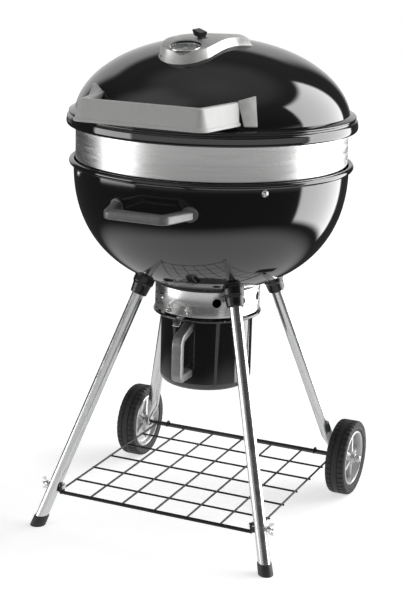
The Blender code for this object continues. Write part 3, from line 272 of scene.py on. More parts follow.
def tube_rings(path, radius, sides, cyclic=False, round_ends=True):
    """Rings of a round wire along a path, with domed ends."""
    path = [Vector(p) for p in path]
    sizes = [radius] * len(path)
    if round_ends and not cyclic:
        for end, step in ((0, 1), (-1, -1)):
            tip = path[end]
            inward = (path[end + step] - tip).normalized()
            extra = []
            for k in (0, 1, 2):
                angle = radians((20, 45, 72)[k])
                extra.append((tip + inward * radius * (1 - sin(angle)), radius * cos(angle)))
            extra.reverse()
            moved = tip + inward * radius
            if end == 0:
                path[0] = moved
                path = [p for p, _ in extra] + path
                sizes = [s for _, s in extra] + sizes
            else:
                path[-1] = moved
                path = path + [p for p, _ in reversed(extra)]
                sizes = sizes + [s for _, s in reversed(extra)]
    rings = []
    count = len(path)
    normal = None
    for i, point in enumerate(path):
        if cyclic:
            along = (path[(i + 1) % count] - path[i - 1]).normalized()
        elif i == 0:
            along = (path[1] - path[0]).normalized()
        elif i == count - 1:
            along = (path[-1] - path[-2]).normalized()
        else:
            along = ((path[i + 1] - point).normalized() + (point - path[i - 1]).normalized()).normalized()
        if normal is None:
            guide = Vector((0, 0, 1)) if abs(along.z) < 0.9 else Vector((1, 0, 0))
            normal = along.cross(guide).normalized()
        normal = (normal - along * normal.dot(along)).normalized()
        side = along.cross(normal)
        ring = []
        for k in range(sides):
            angle = tau * k / sides
            ring.append(point + (normal * cos(angle) + side * sin(angle)) * sizes[i])
        rings.append(ring)
    return rings


def wire_parts(runs, radius, sides=WIRE_SIDES, cyclic=False):
    return [skinned(tube_rings(run, radius, sides, cyclic), cyclic=cyclic) for run in runs]


def bar_rings(path, section, up):
    """Rings of an (across, up) section carried along a path in one plane."""
    path = [Vector(p) for p in path]
    up = Vector(up)
    rings = []
    for i, point in enumerate(path):
        sides = []
        if i > 0:
            sides.append((point - path[i - 1]).normalized().cross(up))
        if i < len(path) - 1:
            sides.append((path[i + 1] - point).normalized().cross(up))
        mitre = sides[0]
        if len(sides) == 2:
            mitre = (sides[0] + sides[1]) / (1.0 + sides[0].dot(sides[1]))
        rings.append([point + mitre * across + up * rise for across, rise in section])
    return rings


def cylinder_parts(start, end, radius, steps=SMALL_STEPS):
    start, end = Vector(start), Vector(end)
    length = (end - start).length
    profile = [(0.0, 0.0), (radius, 0.0), (radius, length), (0.0, length)]
    return moved(revolve(profile, steps, False), shifted(*start) @ facing(end - start))


def box_parts(size, place):
    """A block of the given size about the frame `place`."""
    half = Vector(size) / 2
    bottom = [(-half.x, -half.y), (half.x, -half.y), (half.x, half.y), (-half.x, half.y)]
    return moved(skinned(levelled(bottom, -half.z, half.z)), place)


def carved(piece, parts_list, operation="DIFFERENCE"):
    """Cut (or keep) solids from a piece and leave one plain mesh."""
    cutters = []
    for i, parts in enumerate(parts_list):
        cutter = add_mesh("%s_cutter_%d" % (piece.name, i), *parts, None)
        modifier = piece.modifiers.new(cutter.name, "BOOLEAN")
        modifier.operation = operation
        modifier.object = cutter
        cutters.append(cutter)
    bpy.context.view_layer.update()
    graph = bpy.context.evaluated_depsgraph_get()
    mesh = bpy.data.meshes.new_from_object(piece.evaluated_get(graph))
    piece.modifiers.clear()
    old = piece.data
    piece.data = mesh
    mesh.name = piece.name
    bpy.data.meshes.remove(old)
    for cutter in cutters:
        bpy.data.meshes.remove(cutter.data)
    mesh.shade_smooth()
    mesh.set_sharp_from_angle(angle=radians(32.0))
    return piece


# ---------------------------------------------------------------- materials
class Nodes:
    """Short ways to add nodes to a tree and wire them together."""

    def __init__(self, tree):
        self.tree = tree

    def node(self, kind, **settings):
        node = self.tree.nodes.new(kind)
        for name, value in settings.items():
            setattr(node, name, value)
        return node

    def link(self, output, socket):
        self.tree.links.new(output, socket)

    def feed(self, node, **values):
        """Set input sockets by name, where _ stands for a space."""
        for socket, value in values.items():
            node.inputs[socket.replace("_", " ")].default_value = value

    def math(self, operation, *values):
        node = self.node("ShaderNodeMath", operation=operation)
        for socket, value in zip(node.inputs, values):
            if isinstance(value, (int, float)):
                socket.default_value = value
            else:
                self.link(value, socket)
        return node.outputs[0]


def toned(tone, share):
    """A colour made darker or lighter, up to white."""
    return tuple(min(1.0, channel * share) for channel in tone)


class Finish(Nodes):
    """A Principled material and the layers that give it its detail."""

    def __init__(self, name, colour, roughness, metallic=0.0, **fixed):
        self.material = bpy.data.materials.new(name)
        self.material.use_nodes = True
        self.material.diffuse_color = (*colour, 1.0)
        super().__init__(self.material.node_tree)
        self.shader = self.tree.nodes["Principled BSDF"]
        self.feed(self.shader, Base_Color=(*colour, 1.0), Roughness=roughness, Metallic=metallic)
        self.feed(self.shader, **fixed)
        self.coordinates = self.node("ShaderNodeTexCoord").outputs["Object"]
        self.relief = None

    def stretched(self, scale):
        node = self.node("ShaderNodeMapping")
        self.feed(node, Scale=scale)
        self.link(self.coordinates, node.inputs["Vector"])
        return node.outputs[0]

    def round_the_axis(self, radius, along, upright):
        """Coordinates that run round the kettle's axis, for brushed rings."""
        split = self.node("ShaderNodeSeparateXYZ")
        self.link(self.coordinates, split.inputs[0])
        forward = self.math("SUBTRACT", AXIS_Y, split.outputs["Y"])
        angle = self.math("ARCTAN2", split.outputs["X"], forward)
        join = self.node("ShaderNodeCombineXYZ")
        self.link(self.math("MULTIPLY", angle, radius * along), join.inputs["X"])
        self.link(self.math("MULTIPLY", split.outputs["Z"], upright), join.inputs["Z"])
        return join.outputs[0]

    def noise(self, scale, detail=3.0, rough=0.55, source=None):
        node = self.node("ShaderNodeTexNoise")
        self.feed(node, Scale=scale, Detail=detail, Roughness=rough)
        self.link(source or self.coordinates, node.inputs["Vector"])
        return node.outputs["Fac"]

    def cells(self, scale):
        node = self.node("ShaderNodeTexVoronoi")
        self.feed(node, Scale=scale)
        self.link(self.coordinates, node.inputs["Vector"])
        return node.outputs["Distance"]

    def colour(self, value, *stops):
        """Colour the surface through (place, colour) stops of a 0..1 value."""
        node = self.node("ShaderNodeValToRGB")
        elements = node.color_ramp.elements
        while len(elements) < len(stops):
            elements.new(0.5)
        for element, (place, tone) in zip(elements, stops):
            element.position = place
            element.color = (*tone, 1.0)
        self.link(value, node.inputs["Fac"])
        self.link(node.outputs["Color"], self.shader.inputs["Base Color"])

    def roughness(self, value, low, high):
        node = self.node("ShaderNodeMapRange")
        self.feed(node, From_Min=0.3, From_Max=0.7, To_Min=low, To_Max=high)
        self.link(value, node.inputs["Value"])
        self.link(node.outputs["Result"], self.shader.inputs["Roughness"])

    def bump(self, value, depth, strength=1.0):
        """Add relief of the given depth in metres on top of earlier relief."""
        node = self.node("ShaderNodeBump")
        self.feed(node, Distance=depth, Strength=strength)
        self.link(value, node.inputs["Height"])
        if self.relief is not None:
            self.link(self.relief, node.inputs["Normal"])
        self.relief = node.outputs["Normal"]
        self.link(self.relief, self.shader.inputs["Normal"])

    def grain_round_axis(self):
        """Reflections spread across a grain that runs round the kettle."""
        tangent = self.node("ShaderNodeTangent", direction_type="RADIAL", axis="Z")
        self.link(tangent.outputs[0], self.shader.inputs["Tangent"])


def porcelain():
    """Fired black enamel: deep gloss, faint orange peel and fine specks."""
    f = Finish("porcelain_black", (0.006, 0.006, 0.0065), 0.06, IOR=1.85)
    f.bump(f.noise(95.0, 2.0), 0.00012, 0.10)
    f.bump(f.noise(9.0, 1.0), 0.0006, 0.05)
    f.roughness(f.noise(14.0, 4.0), 0.045, 0.085)
    f.colour(f.cells(420.0), (0.0, (0.022, 0.022, 0.024)), (0.09, (0.006, 0.006, 0.0065)))
    return f.material


def brushed(name, radius, tone, roughness=0.24, anisotropy=0.75, along=4.0, upright=900.0):
    """Stainless sheet brushed round the kettle's axis."""
    f = Finish(name, tone, roughness, 1.0, Anisotropic=anisotropy)
    lines = f.noise(1.0, 5.0, 0.65, f.round_the_axis(radius, along, upright))
    broad = f.noise(1.0, 3.0, 0.5, f.round_the_axis(radius, along * 2.2, upright * 0.12))
    f.colour(lines, (0.25, toned(tone, 0.86)), (0.75, toned(tone, 1.10)))
    f.roughness(broad, roughness * 0.8, roughness * 1.25)
    f.bump(lines, 0.00006, 0.22)
    f.grain_round_axis()
    return f.material


def drawn(name, tone, roughness, scale, depth=0.00005, metallic=1.0):
    """Metal with its grain along one direction: a stretched noise."""
    f = Finish(name, tone, roughness, metallic)
    lines = f.noise(1.0, 5.0, 0.6, f.stretched(scale))
    f.colour(lines, (0.25, toned(tone, 0.84)), (0.75, toned(tone, 1.12)))
    f.roughness(f.noise(38.0, 4.0), roughness * 0.75, roughness * 1.3)
    f.bump(lines, depth, 0.25)
    return f.material


def moulded(name, tone, roughness, grain=900.0, depth=0.00008, strength=0.35, mottling=0.12, **fixed):
    """Moulded plastic: fine spark-eroded grain and a slight mottling."""
    f = Finish(name, tone, roughness, **fixed)
    mottle = f.noise(60.0, 4.0, 0.6)
    f.colour(mottle, (0.3, toned(tone, 1 - mottling)), (0.7, toned(tone, 1 + mottling)))
    f.roughness(f.noise(120.0, 3.0), roughness * 0.88, roughness * 1.15)
    f.bump(f.noise(grain, 2.0), depth, strength)
    return f.material


def coated_wire():
    """Black dipped wire: gloss with small sags and a few dull patches."""
    f = Finish("wire_black", (0.008, 0.008, 0.008), 0.34, IOR=1.4)
    f.bump(f.noise(160.0, 3.0), 0.0002, 0.35)
    f.roughness(f.noise(55.0, 4.0), 0.26, 0.46)
    f.colour(f.noise(90.0, 3.0), (0.35, (0.006, 0.006, 0.006)), (0.75, (0.018, 0.018, 0.018)))
    return f.material


def rubber():
    """Tyre compound: dull, slightly grey where dust settles."""
    f = Finish("tyre_black", (0.022, 0.022, 0.023), 0.62, IOR=1.5)
    dust = f.noise(42.0, 6.0, 0.65)
    f.colour(dust, (0.35, (0.016, 0.016, 0.017)), (0.62, (0.028, 0.028, 0.029)), (0.8, (0.05, 0.049, 0.047)))
    f.roughness(dust, 0.5, 0.78)
    f.bump(f.noise(700.0, 3.0), 0.00015, 0.5)
    return f.material


def grill_wire():
    """Plated cooking wire with heat tint and a little burnt-on film."""
    f = Finish("grill_wire", (0.55, 0.54, 0.52), 0.3, 1.0)
    tint = f.noise(16.0, 5.0, 0.6)
    f.colour(tint, (0.3, (0.62, 0.61, 0.60)), (0.55, (0.50, 0.47, 0.42)), (0.75, (0.34, 0.29, 0.25)))
    f.roughness(f.noise(70.0, 4.0), 0.2, 0.42)
    f.bump(f.noise(420.0, 4.0), 0.0001, 0.3)
    return f.material


def scaled_steel():
    """Heat-darkened steel with a thin grey film of ash."""
    f = Finish("fired_steel", (0.12, 0.11, 0.105), 0.55, 0.75)
    ash = f.noise(28.0, 7.0, 0.7)
    f.colour(ash, (0.32, (0.07, 0.065, 0.06)), (0.55, (0.14, 0.125, 0.115)), (0.78, (0.30, 0.285, 0.27)))
    f.roughness(ash, 0.42, 0.8)
    f.bump(f.noise(300.0, 5.0), 0.0003, 0.45)
    return f.material


def dial_print():
    """The gauge's printed disc: satin near-black with fine turned rings."""
    f = Finish("dial_print", (0.02, 0.02, 0.022), 0.35)
    f.colour(f.noise(180.0, 3.0), (0.3, (0.014, 0.014, 0.016)), (0.7, (0.03, 0.03, 0.032)))
    f.roughness(f.noise(240.0, 3.0), 0.28, 0.42)
    f.bump(f.noise(900.0, 2.0), 0.00003, 0.3)
    return f.material


def painted(name, tone, roughness):
    f = Finish(name, tone, roughness)
    f.colour(f.noise(300.0, 3.0), (0.3, toned(tone, 0.9)), (0.7, toned(tone, 1.06)))
    f.bump(f.noise(1200.0, 2.0), 0.00003, 0.3)
    return f.material


def clear_glass():
    """Flat gauge glass with the faintest waviness."""
    f = Finish("glass_clear", (0.95, 0.97, 0.97), 0.02, IOR=1.05, Transmission_Weight=1.0)
    f.bump(f.noise(60.0, 1.0), 0.00005, 0.05)
    f.roughness(f.noise(200.0, 2.0), 0.01, 0.04)
    return f.material


def flaked(name, tone, roughness):
    """Silver paint: fine metallic flake under a satin top coat."""
    f = Finish(name, tone, roughness, 0.55, Coat_Weight=0.25, Coat_Roughness=0.25)
    flake = f.cells(2200.0)
    f.colour(flake, (0.0, toned(tone, 1.25)), (0.5, tone), (1.0, toned(tone, 0.82)))
    f.roughness(f.noise(90.0, 4.0), roughness * 0.85, roughness * 1.2)
    f.bump(f.noise(500.0, 2.0), 0.00006, 0.25)
    return f.material


PORCELAIN = porcelain()
BAND_STEEL = brushed("band_steel", BAND_R, (0.70, 0.70, 0.695))
COLLAR_STEEL = brushed("collar_steel", COLLAR_R, (0.80, 0.80, 0.795), 0.26, 0.6)
TUBE_METAL = drawn("tube_aluminium", (0.74, 0.745, 0.75), 0.19, (900.0, 900.0, 6.0))
BAR_STEEL = drawn("plain_steel", (0.66, 0.66, 0.65), 0.26, (500.0, 500.0, 500.0))
PLATED = drawn("plated_steel", (0.84, 0.84, 0.83), 0.2, (700.0, 60.0, 700.0))
CASTING = drawn("vent_casting", (0.74, 0.74, 0.73), 0.38, (120.0, 120.0, 1600.0), 0.00006, 0.5)
LID_GRIP = moulded("lid_grip_silver", (0.66, 0.66, 0.65), 0.42, strength=0.2, mottling=0.03,
                   Specular_IOR_Level=0.25)
PLATE_SATIN = moulded("handle_plate_satin", (0.72, 0.72, 0.71), 0.36, Metallic=0.2)
# Painted shade: the bowl and pot grips are the lid grip's material, with darker tones for the shade they sit
# in under the lid and the bowl.
SHADED_BOWL_GRIP = moulded("bowl_grip_painted_shade", (0.22, 0.22, 0.22), 0.38, Metallic=0.4)
SHADED_POT_GRIP = moulded("pot_grip_painted_shade", (0.30, 0.30, 0.30), 0.34, Metallic=0.6)
BLACK_PAINT = painted("ring_black", (0.02, 0.02, 0.02), 0.3)
SHELF_BLACK = coated_wire()
SOCKET_BLACK = moulded("socket_black", (0.012, 0.012, 0.012), 0.16, 500.0, 0.00004, 0.25)
CAP_BLACK = moulded("cap_black", (0.028, 0.028, 0.028), 0.42, 700.0)
KNOB_BLACK = moulded("knob_black", (0.014, 0.014, 0.014), 0.32, 800.0)
TYRE_BLACK = rubber()
HUB_SILVER = flaked("hub_silver", (0.58, 0.58, 0.58), 0.32)
HUB_CENTRE = flaked("hub_centre", (0.62, 0.62, 0.61), 0.26)
GRILL_WIRE = grill_wire()
FIRED_STEEL = scaled_steel()
DIAL_PRINT = dial_print()
DIAL_MARKS = painted("dial_marks", (0.62, 0.62, 0.60), 0.4)
DIAL_ZONE = painted("dial_zone", (0.30, 0.30, 0.30), 0.4)
NEEDLE_WHITE = painted("needle_paint", (0.80, 0.79, 0.76), 0.35)
GLASS = clear_glass()


# ------------------------------------------------------------ shared outlines
AIR = 0.0003  # between pieces that lie on one another
BAND_SHEET = 0.0015
BAND_STEP_LOW, BAND_STEP_HIGH = 0.7446, 0.7484
BRACKET_Z = BAND_LOW.z - AIR
ROW_NAMES = ("front_right", "rear_right", "rear_left", "front_left")
ROW_ANGLES = tuple(radians(45 + 90 * i) for i in range(4))


def put(name, parts, material, place=KETTLE, angle=32.0):
    return add_mesh(name, *moved(parts, place), material, angle)


def out(radius, azimuth, height=0.0):
    """A point at an angle from the front, turning towards +X, about the axis."""
    return Vector((radius * sin(azimuth), -radius * cos(azimuth), height))


def rounded_box(width, height, reach, count=4):
    half, up = width / 2, height / 2
    return rounded([(half, -up), (half, up), (-half, up), (-half, -up)], reach, count)


def circle(radius, height, count):
    return [out(radius, tau * i / count, height) for i in range(count)]


def arc(centre, radius, degrees):
    across, up = centre
    return [(across + radius * cos(radians(a)), up + radius * sin(radians(a))) for a in degrees]


def chord(radius, offset):
    return sqrt(radius * radius - offset * offset)


def chord_rods(radius, places, height, sideways=False):
    """Straight rods from side to side of a ring."""
    rods = []
    for place in places:
        half = chord(radius, place)
        ends = [(-half, place), (half, place)] if sideways else [(place, -half), (place, half)]
        rods.append([(x, y, height) for x, y in ends])
    return rods


def bowl_curve(radius, depth, count):
    points = []
    for i in range(count + 1):
        angle = pi / 2 * (i / count) ** 1.35
        across = max(cos(angle), 0.0) ** (2 / BOWL_POWER)
        points.append((radius * across, BOWL_RIM_Z - depth * sin(angle) ** (2 / BOWL_POWER)))
    return points


def bowl_height(radius, offset=0.0):
    share = radius / (BOWL_R + offset)
    return BOWL_RIM_Z - (BOWL_DEPTH + offset) * (1 - share ** BOWL_POWER) ** (1 / BOWL_POWER)


def dome_curve(offset, count):
    points = []
    for i in range(count + 1):
        angle = radians(83.0) * i / count
        points.append(((LID_R + offset) * sin(angle), LID_BASE_Z + (LID_RISE + offset) * cos(angle)))
    return points


def lid_height(x, y, offset=0.0):
    share = (x * x + y * y) / (LID_R + offset) ** 2
    return LID_BASE_Z + (LID_RISE + offset) * sqrt(1 - share)


def lid_envelope(offset=AIR):
    profile = [*dome_curve(offset, 48), (0.0, LID_BASE_Z)]
    return moved(revolve(profile, KETTLE_STEPS, False), KETTLE)


def bowl_envelope(offset=AIR):
    curve = bowl_curve(BOWL_R + offset, BOWL_DEPTH + offset, 48)
    profile = [(0.0, BOWL_HIGH.z), (BOWL_R + offset, BOWL_HIGH.z), *curve[:-1]]
    profile.append((0.0, BOWL_RIM_Z - BOWL_DEPTH - offset))
    return moved(revolve(profile, KETTLE_STEPS, False), KETTLE)


def sector(half, inner, outer, azimuth, low, high):
    """A ring sector with rounded corners, from low to high."""
    outline = []
    for radius, sign in ((inner, 1), (outer, -1)):
        for i in range(9):
            p = out(radius, azimuth + sign * half * (1 - i / 4))
            outline.append((p.x, p.y))
    outline = softened(outline, [0.0045 if i in (0, 8, 9, 17) else 0.0 for i in range(18)], 3)
    return skinned(levelled(outline, low, high))


# ----------------------------------------------------------------- the kettle
def make_bowl():
    middle = BOWL_HIGH.z - BOWL_BEAD_R
    bead = arc((BOWL_BEAD_MID_R, middle), BOWL_BEAD_R, range(140, -122, -9))
    outer = bowl_curve(BOWL_R, BOWL_DEPTH, 60)
    inner = bowl_curve(BOWL_R - BOWL_SHEET, BOWL_DEPTH - BOWL_SHEET, 60)
    hole = 0.0046
    bottom = [(hole, outer[-1][1]), (hole, inner[-1][1])]
    piece = turned("bowl_visual", bead + outer[:-1] + bottom + inner[-2::-1], PORCELAIN, KETTLE_STEPS)
    slots = [moved(sector(radians(15), 0.036, 0.080, tau * i / 4, 0.47, 0.52), KETTLE) for i in range(4)]
    belongs(carved(piece, slots), "stand", "black_porcelain", "bowl_shell")


def make_band():
    low = BAND_R - 0.0025
    outline = [(BAND_R - BAND_SHEET, BAND_HIGH.z), (BAND_R, BAND_HIGH.z), (BAND_R, BAND_STEP_HIGH),
               (low, BAND_STEP_LOW), (low, BAND_LOW.z), (low - BAND_SHEET, BAND_LOW.z),
               (low - BAND_SHEET, BAND_STEP_LOW), (BAND_R - BAND_SHEET, BAND_STEP_HIGH)]
    profile = held(rounded(outline, [0.0005, 0.0005, 0.002, 0.002, 0.0005, 0.0005, 0.002, 0.002], 4))
    piece = turned("band_visual", profile, BAND_STEEL, KETTLE_STEPS, angle=24.0)
    belongs(piece, "steel_band", "brushed_steel", "steel_band")
    lap = 0.0006
    rings = []
    for i in range(7):
        azimuth = pi + radians(-1.7 + 3.4 * i / 6)
        rings.append([out(r, azimuth, z) for r, z in (
            (BAND_R - 0.0002, 0.7500), (BAND_R + lap, 0.7504), (BAND_R + lap, BAND_HIGH.z - 0.0004),
            (BAND_R - 0.0002, BAND_HIGH.z - 0.0002))])
    seam = [skinned(rings)]
    for i in range(6):
        centre = out(BAND_R + lap - 0.0002, pi, 0.7570 + 0.0128 * i)
        seam.append(cylinder_parts(centre, centre + Vector((0, 0.0004, 0)), 0.0022, 20))
    belongs(put("band_seam", merged(seam), BAND_STEEL), "steel_band", "brushed_steel")


def make_lid():
    seat = BAND_HIGH.z + AIR
    low = LID_LOW.z
    rim = [(0.2790, 0.8470), (0.2836, 0.8453), (0.2868, 0.8440), (0.2870, 0.8422), (0.2852, 0.8400),
           (0.2858, 0.8376), (0.2884, 0.8364), (0.2902, 0.8335), (0.2906, 0.8290), (LID_RIM_R, 0.8258),
           (LID_RIM_R, 0.8204), (0.2893, low), (0.2758, low), (0.2745, low + 0.0015), (0.2745, seat),
           (0.2700, seat), (0.2700, seat + 0.0020)]
    reach = [0.002, 0.0015, 0.0011, 0.0009, 0.0009, 0.001, 0.0014, 0.0018, 0.0014, 0.0014, 0.002, 0.0016,
             0.001, 0.0006, 0.0004, 0.0005, 0.0]
    rim = rounded(rim, reach, 4, False)
    inner = dome_curve(-LID_SHEET, 48)
    profile = dome_curve(0.0, 48) + rim + inner[::-1]
    piece = turned("lid_visual", profile, PORCELAIN, KETTLE_STEPS, closed=False)
    low_end, high_end = (DIAL_FRAME @ Vector((0, 0, z)) for z in (-0.03, 0.03))
    holes = [cylinder_parts(low_end, high_end, 0.0040, 24), *vent_slot_cutters(0.03)]
    belongs(carved(piece, holes), "lid", "black_porcelain", "lid_shell")


def bent_bar(name, end, corner, height, section, material, cutters, reach):
    """A bar from the kettle over two corners and back, the same on both sides."""
    right = [(*end, height), (*corner, height)]
    corners = [(-x, y, z) for x, y, z in right] + right[::-1]
    path = softened(corners, reach, 9, False)
    piece = put(name, skinned(bar_rings(path, section, (0, 0, 1))), material)
    return carved(piece, cutters)


LID_HANDLE_LEAN = 0.2900  # how far the bar's top tips back, over its height


def make_lid_handle():
    low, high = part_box("lid_handle")
    depth, height = 0.0150, high.z - low.z
    middle = (low.z + high.z) / 2
    half, up = depth / 2, height / 2
    corners = [(half - 0.0003, -up), (half, -up + 0.0052), (half - 0.0016, -up + 0.0066),
               (half - 0.0016, up - 0.0026), (half - 0.0034, up), (-half + 0.0030, up), (-half, up - 0.0030),
               (-half, -up + 0.0030), (-half + 0.0030, -up)]
    reach = [0.0018, 0.0016, 0.0008, 0.0022, 0.0024, 0.003, 0.003, 0.003, 0.003]
    section = rounded(corners, reach, 4)
    section = [(across - LID_HANDLE_LEAN * rise, rise) for across, rise in section]
    piece = bent_bar("lid_handle_visual", (0.1464, -0.1987), (0.1228, -0.3295), middle, section, LID_GRIP,
                     [lid_envelope(), foot_room(-1), foot_room(1)], 0.010)
    belongs(piece, "lid", "silver_grip", "lid_handle")


# Corners of the plates that fix the lid handle, on the dome and clockwise from
# the inner top one, and how far the plates stand off it
FOOT_CORNERS = ((0.1400, -0.2085, 0.8970), (0.1655, -0.1850, 0.9055),
                (0.1790, -0.2050, 0.8515), (0.1590, -0.2210, 0.8525))
FOOT_SHEET, FOOT_ROOT, FOOT_AIR = 0.0050, 0.0060, 0.0010


def foot_rings(side, grow, levels):
    """Rounded outlines of a handle plate at several (height, scale) levels."""
    corners = [Vector(corner) for corner in FOOT_CORNERS]
    outwards = (corners[2] - corners[0]).cross(corners[1] - corners[3]).normalized()
    centre = sum(corners, Vector()) / len(corners)
    outline = softened([corner + (corner - centre).normalized() * grow for corner in corners], 0.0022, 5)
    rings = []
    for level, scale in levels:
        ring = [centre + (point - centre) * scale + outwards * level for point in outline]
        rings.append([Vector((side * point.x, point.y, point.z)) for point in ring])
    return rings


def foot_room(side):
    levels = ((-FOOT_ROOT - FOOT_AIR, 1.0), (FOOT_SHEET + FOOT_AIR, 1.0))
    return moved(skinned(foot_rings(side, FOOT_AIR, levels)), KETTLE)


def make_lid_feet():
    rim = 0.0010
    levels = ((-FOOT_ROOT, 1.0), (FOOT_SHEET - rim, 1.0), (FOOT_SHEET - 0.3 * rim, 0.985),
              (FOOT_SHEET, 0.955))
    for side, name in ((-1, "left"), (1, "right")):
        foot = put("lid_foot_visual_" + name, skinned(foot_rings(side, 0.0, levels)), PLATE_SATIN)
        belongs(carved(foot, [lid_envelope()]), "lid", "silver_grip", "lid_handle_foot_" + name)


def make_bowl_handle():
    low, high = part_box("bowl_handle")
    depth, height = 0.0200, high.z - low.z
    front = -low.y + AXIS_Y - depth / 2
    middle = (low.z + high.z) / 2
    half, up = depth / 2, height / 2
    corners = [(half, -up + 0.0016), (half, up - 0.0054), (half - 0.0022, up - 0.0020), (half - 0.0060, up),
               (-half + 0.0045, up), (-half, up - 0.0045), (-half, -up + 0.0040), (-half + 0.0040, -up),
               (half - 0.0024, -up)]
    section = rounded(corners, [0.0016, 0.0024, 0.0022, 0.003, 0.004, 0.004, 0.004, 0.004, 0.002], 4)
    piece = bent_bar("bowl_handle_visual", (0.0760, -0.2700), (0.0560, -front), middle, section, SHADED_BOWL_GRIP,
                     [bowl_envelope(0.0048)], 0.008)
    belongs(piece, "stand", "grey_grip", "bowl_handle")
    for side, name in ((-1, "left"), (1, "right")):
        outwards = Vector((side * 0.03, -1.0, -0.10)).normalized()
        place = KETTLE @ shifted(side * 0.0755, -0.2600, middle) @ facing(outwards)
        profile = [(0.0, 0.012), (0.0150, 0.012), (0.0150, -0.012), (0.0, -0.012)]
        mount = turned("bowl_mount_" + name, profile, SHADED_BOWL_GRIP, 48, place, closed=False)
        carved(mount, [bowl_envelope(0.0045)], "INTERSECT")
        carved(mount, [bowl_envelope()])
        rounding = mount.modifiers.new("edge", "BEVEL")
        rounding.width = 0.0014
        rounding.segments = 3
        rounding.limit_method = "ANGLE"
        belongs(mount, "stand", "grey_grip", "bowl_handle_mount_" + name)


# ------------------------------------------------------------- vent and gauge
VENT_X = -0.0010
VENT_Y = -0.1230
VENT_TURN = radians(36.0)
VENT_TOP_R = 0.0505
VENT_BASE_R = 0.0560
VENT_LENGTH = 0.1270
VENT_TAIL_HALF = 0.0135
VENT_RISE = 0.0185
VENT_TAIL_RISE = 0.0140
VENT_NOSE_RISE = 0.0040
VENT_SHEET = 0.0025
# Slots in the lid and the slider under the cover, and holes in its side
VENT_SLOTS = (0.0330, 0.0550)
VENT_SLOT_HALF = 0.0110
VENT_SLOT_LENGTH = 0.0100
VENT_SIDE_HOLES = 5
VENT_SIDE_R = 0.0525
KNOB_PLACE = 0.0260
KNOB_SLOT = 0.0205
DIAL_X = 0.0030
DIAL_Y = -0.1420
DIAL_R = 0.0305
DIAL_TOP = 0.0170
DIAL_TILT = radians(8.0)
DIAL_TICKS = 41
NEEDLE_COLD = radians(125.0)
DIAL_FRAME = KETTLE @ shifted(DIAL_X, DIAL_Y, lid_height(DIAL_X, DIAL_Y)) @ spun(DIAL_TILT, "X")


def vent_frame():
    """Axes of the cover where it stands on the dome: across, along, up."""
    x, y = VENT_X + 0.040 * sin(VENT_TURN), VENT_Y + 0.040 * cos(VENT_TURN)
    z = lid_height(x, y)
    up = Vector((x / LID_R ** 2, y / LID_R ** 2, (z - LID_BASE_Z) / LID_RISE ** 2)).normalized()
    along = Vector((sin(VENT_TURN), cos(VENT_TURN), 0.0))
    along = (along - up * along.dot(up)).normalized()
    turn = Matrix((along.cross(up), along, up)).transposed().to_4x4()
    return KETTLE @ shifted(*(Vector((x, y, z)) - along * 0.040)) @ turn


VENT_FRAME = vent_frame()


def vent_slot_cutters(height):
    size = (2 * VENT_SLOT_HALF, VENT_SLOT_LENGTH, height)
    return [box_parts(size, VENT_FRAME @ shifted(0.0, place, 0.0)) for place in VENT_SLOTS]


def vent_half_width(forward, inset=0.0):
    radius, tail, leave = VENT_TOP_R - inset, VENT_TAIL_HALF - inset, 0.012
    if forward <= leave:
        return sqrt(max(radius * radius - forward * forward, 0.0))
    t = min((forward - leave) / (VENT_LENGTH * 0.82 - leave), 1.0)
    start = sqrt(radius * radius - leave * leave)
    blend = t * t * (3 - 2 * t) * 0.65 + (1 - (1 - t) ** 2) * 0.35
    return start + (tail - start) * blend


def vent_point(forward, across, share=1.0, grow=0.0):
    rise = VENT_RISE + (VENT_TAIL_RISE - VENT_RISE) * max(forward, 0.0) / VENT_LENGTH
    rise += VENT_NOSE_RISE * max(-forward, 0.0) / VENT_TOP_R
    span = Vector((across, forward))
    if grow and span.length > 0:
        if forward <= 0:
            span = span * (1 + grow / VENT_TOP_R)
        else:
            span = Vector((across + (grow if across > 0 else -grow) * min(1, abs(across) / 0.01), forward))
    x = VENT_X + span.x * cos(VENT_TURN) + span.y * sin(VENT_TURN)
    y = VENT_Y - span.x * sin(VENT_TURN) + span.y * cos(VENT_TURN)
    return Vector((x, y, lid_height(x, y) + rise * share))


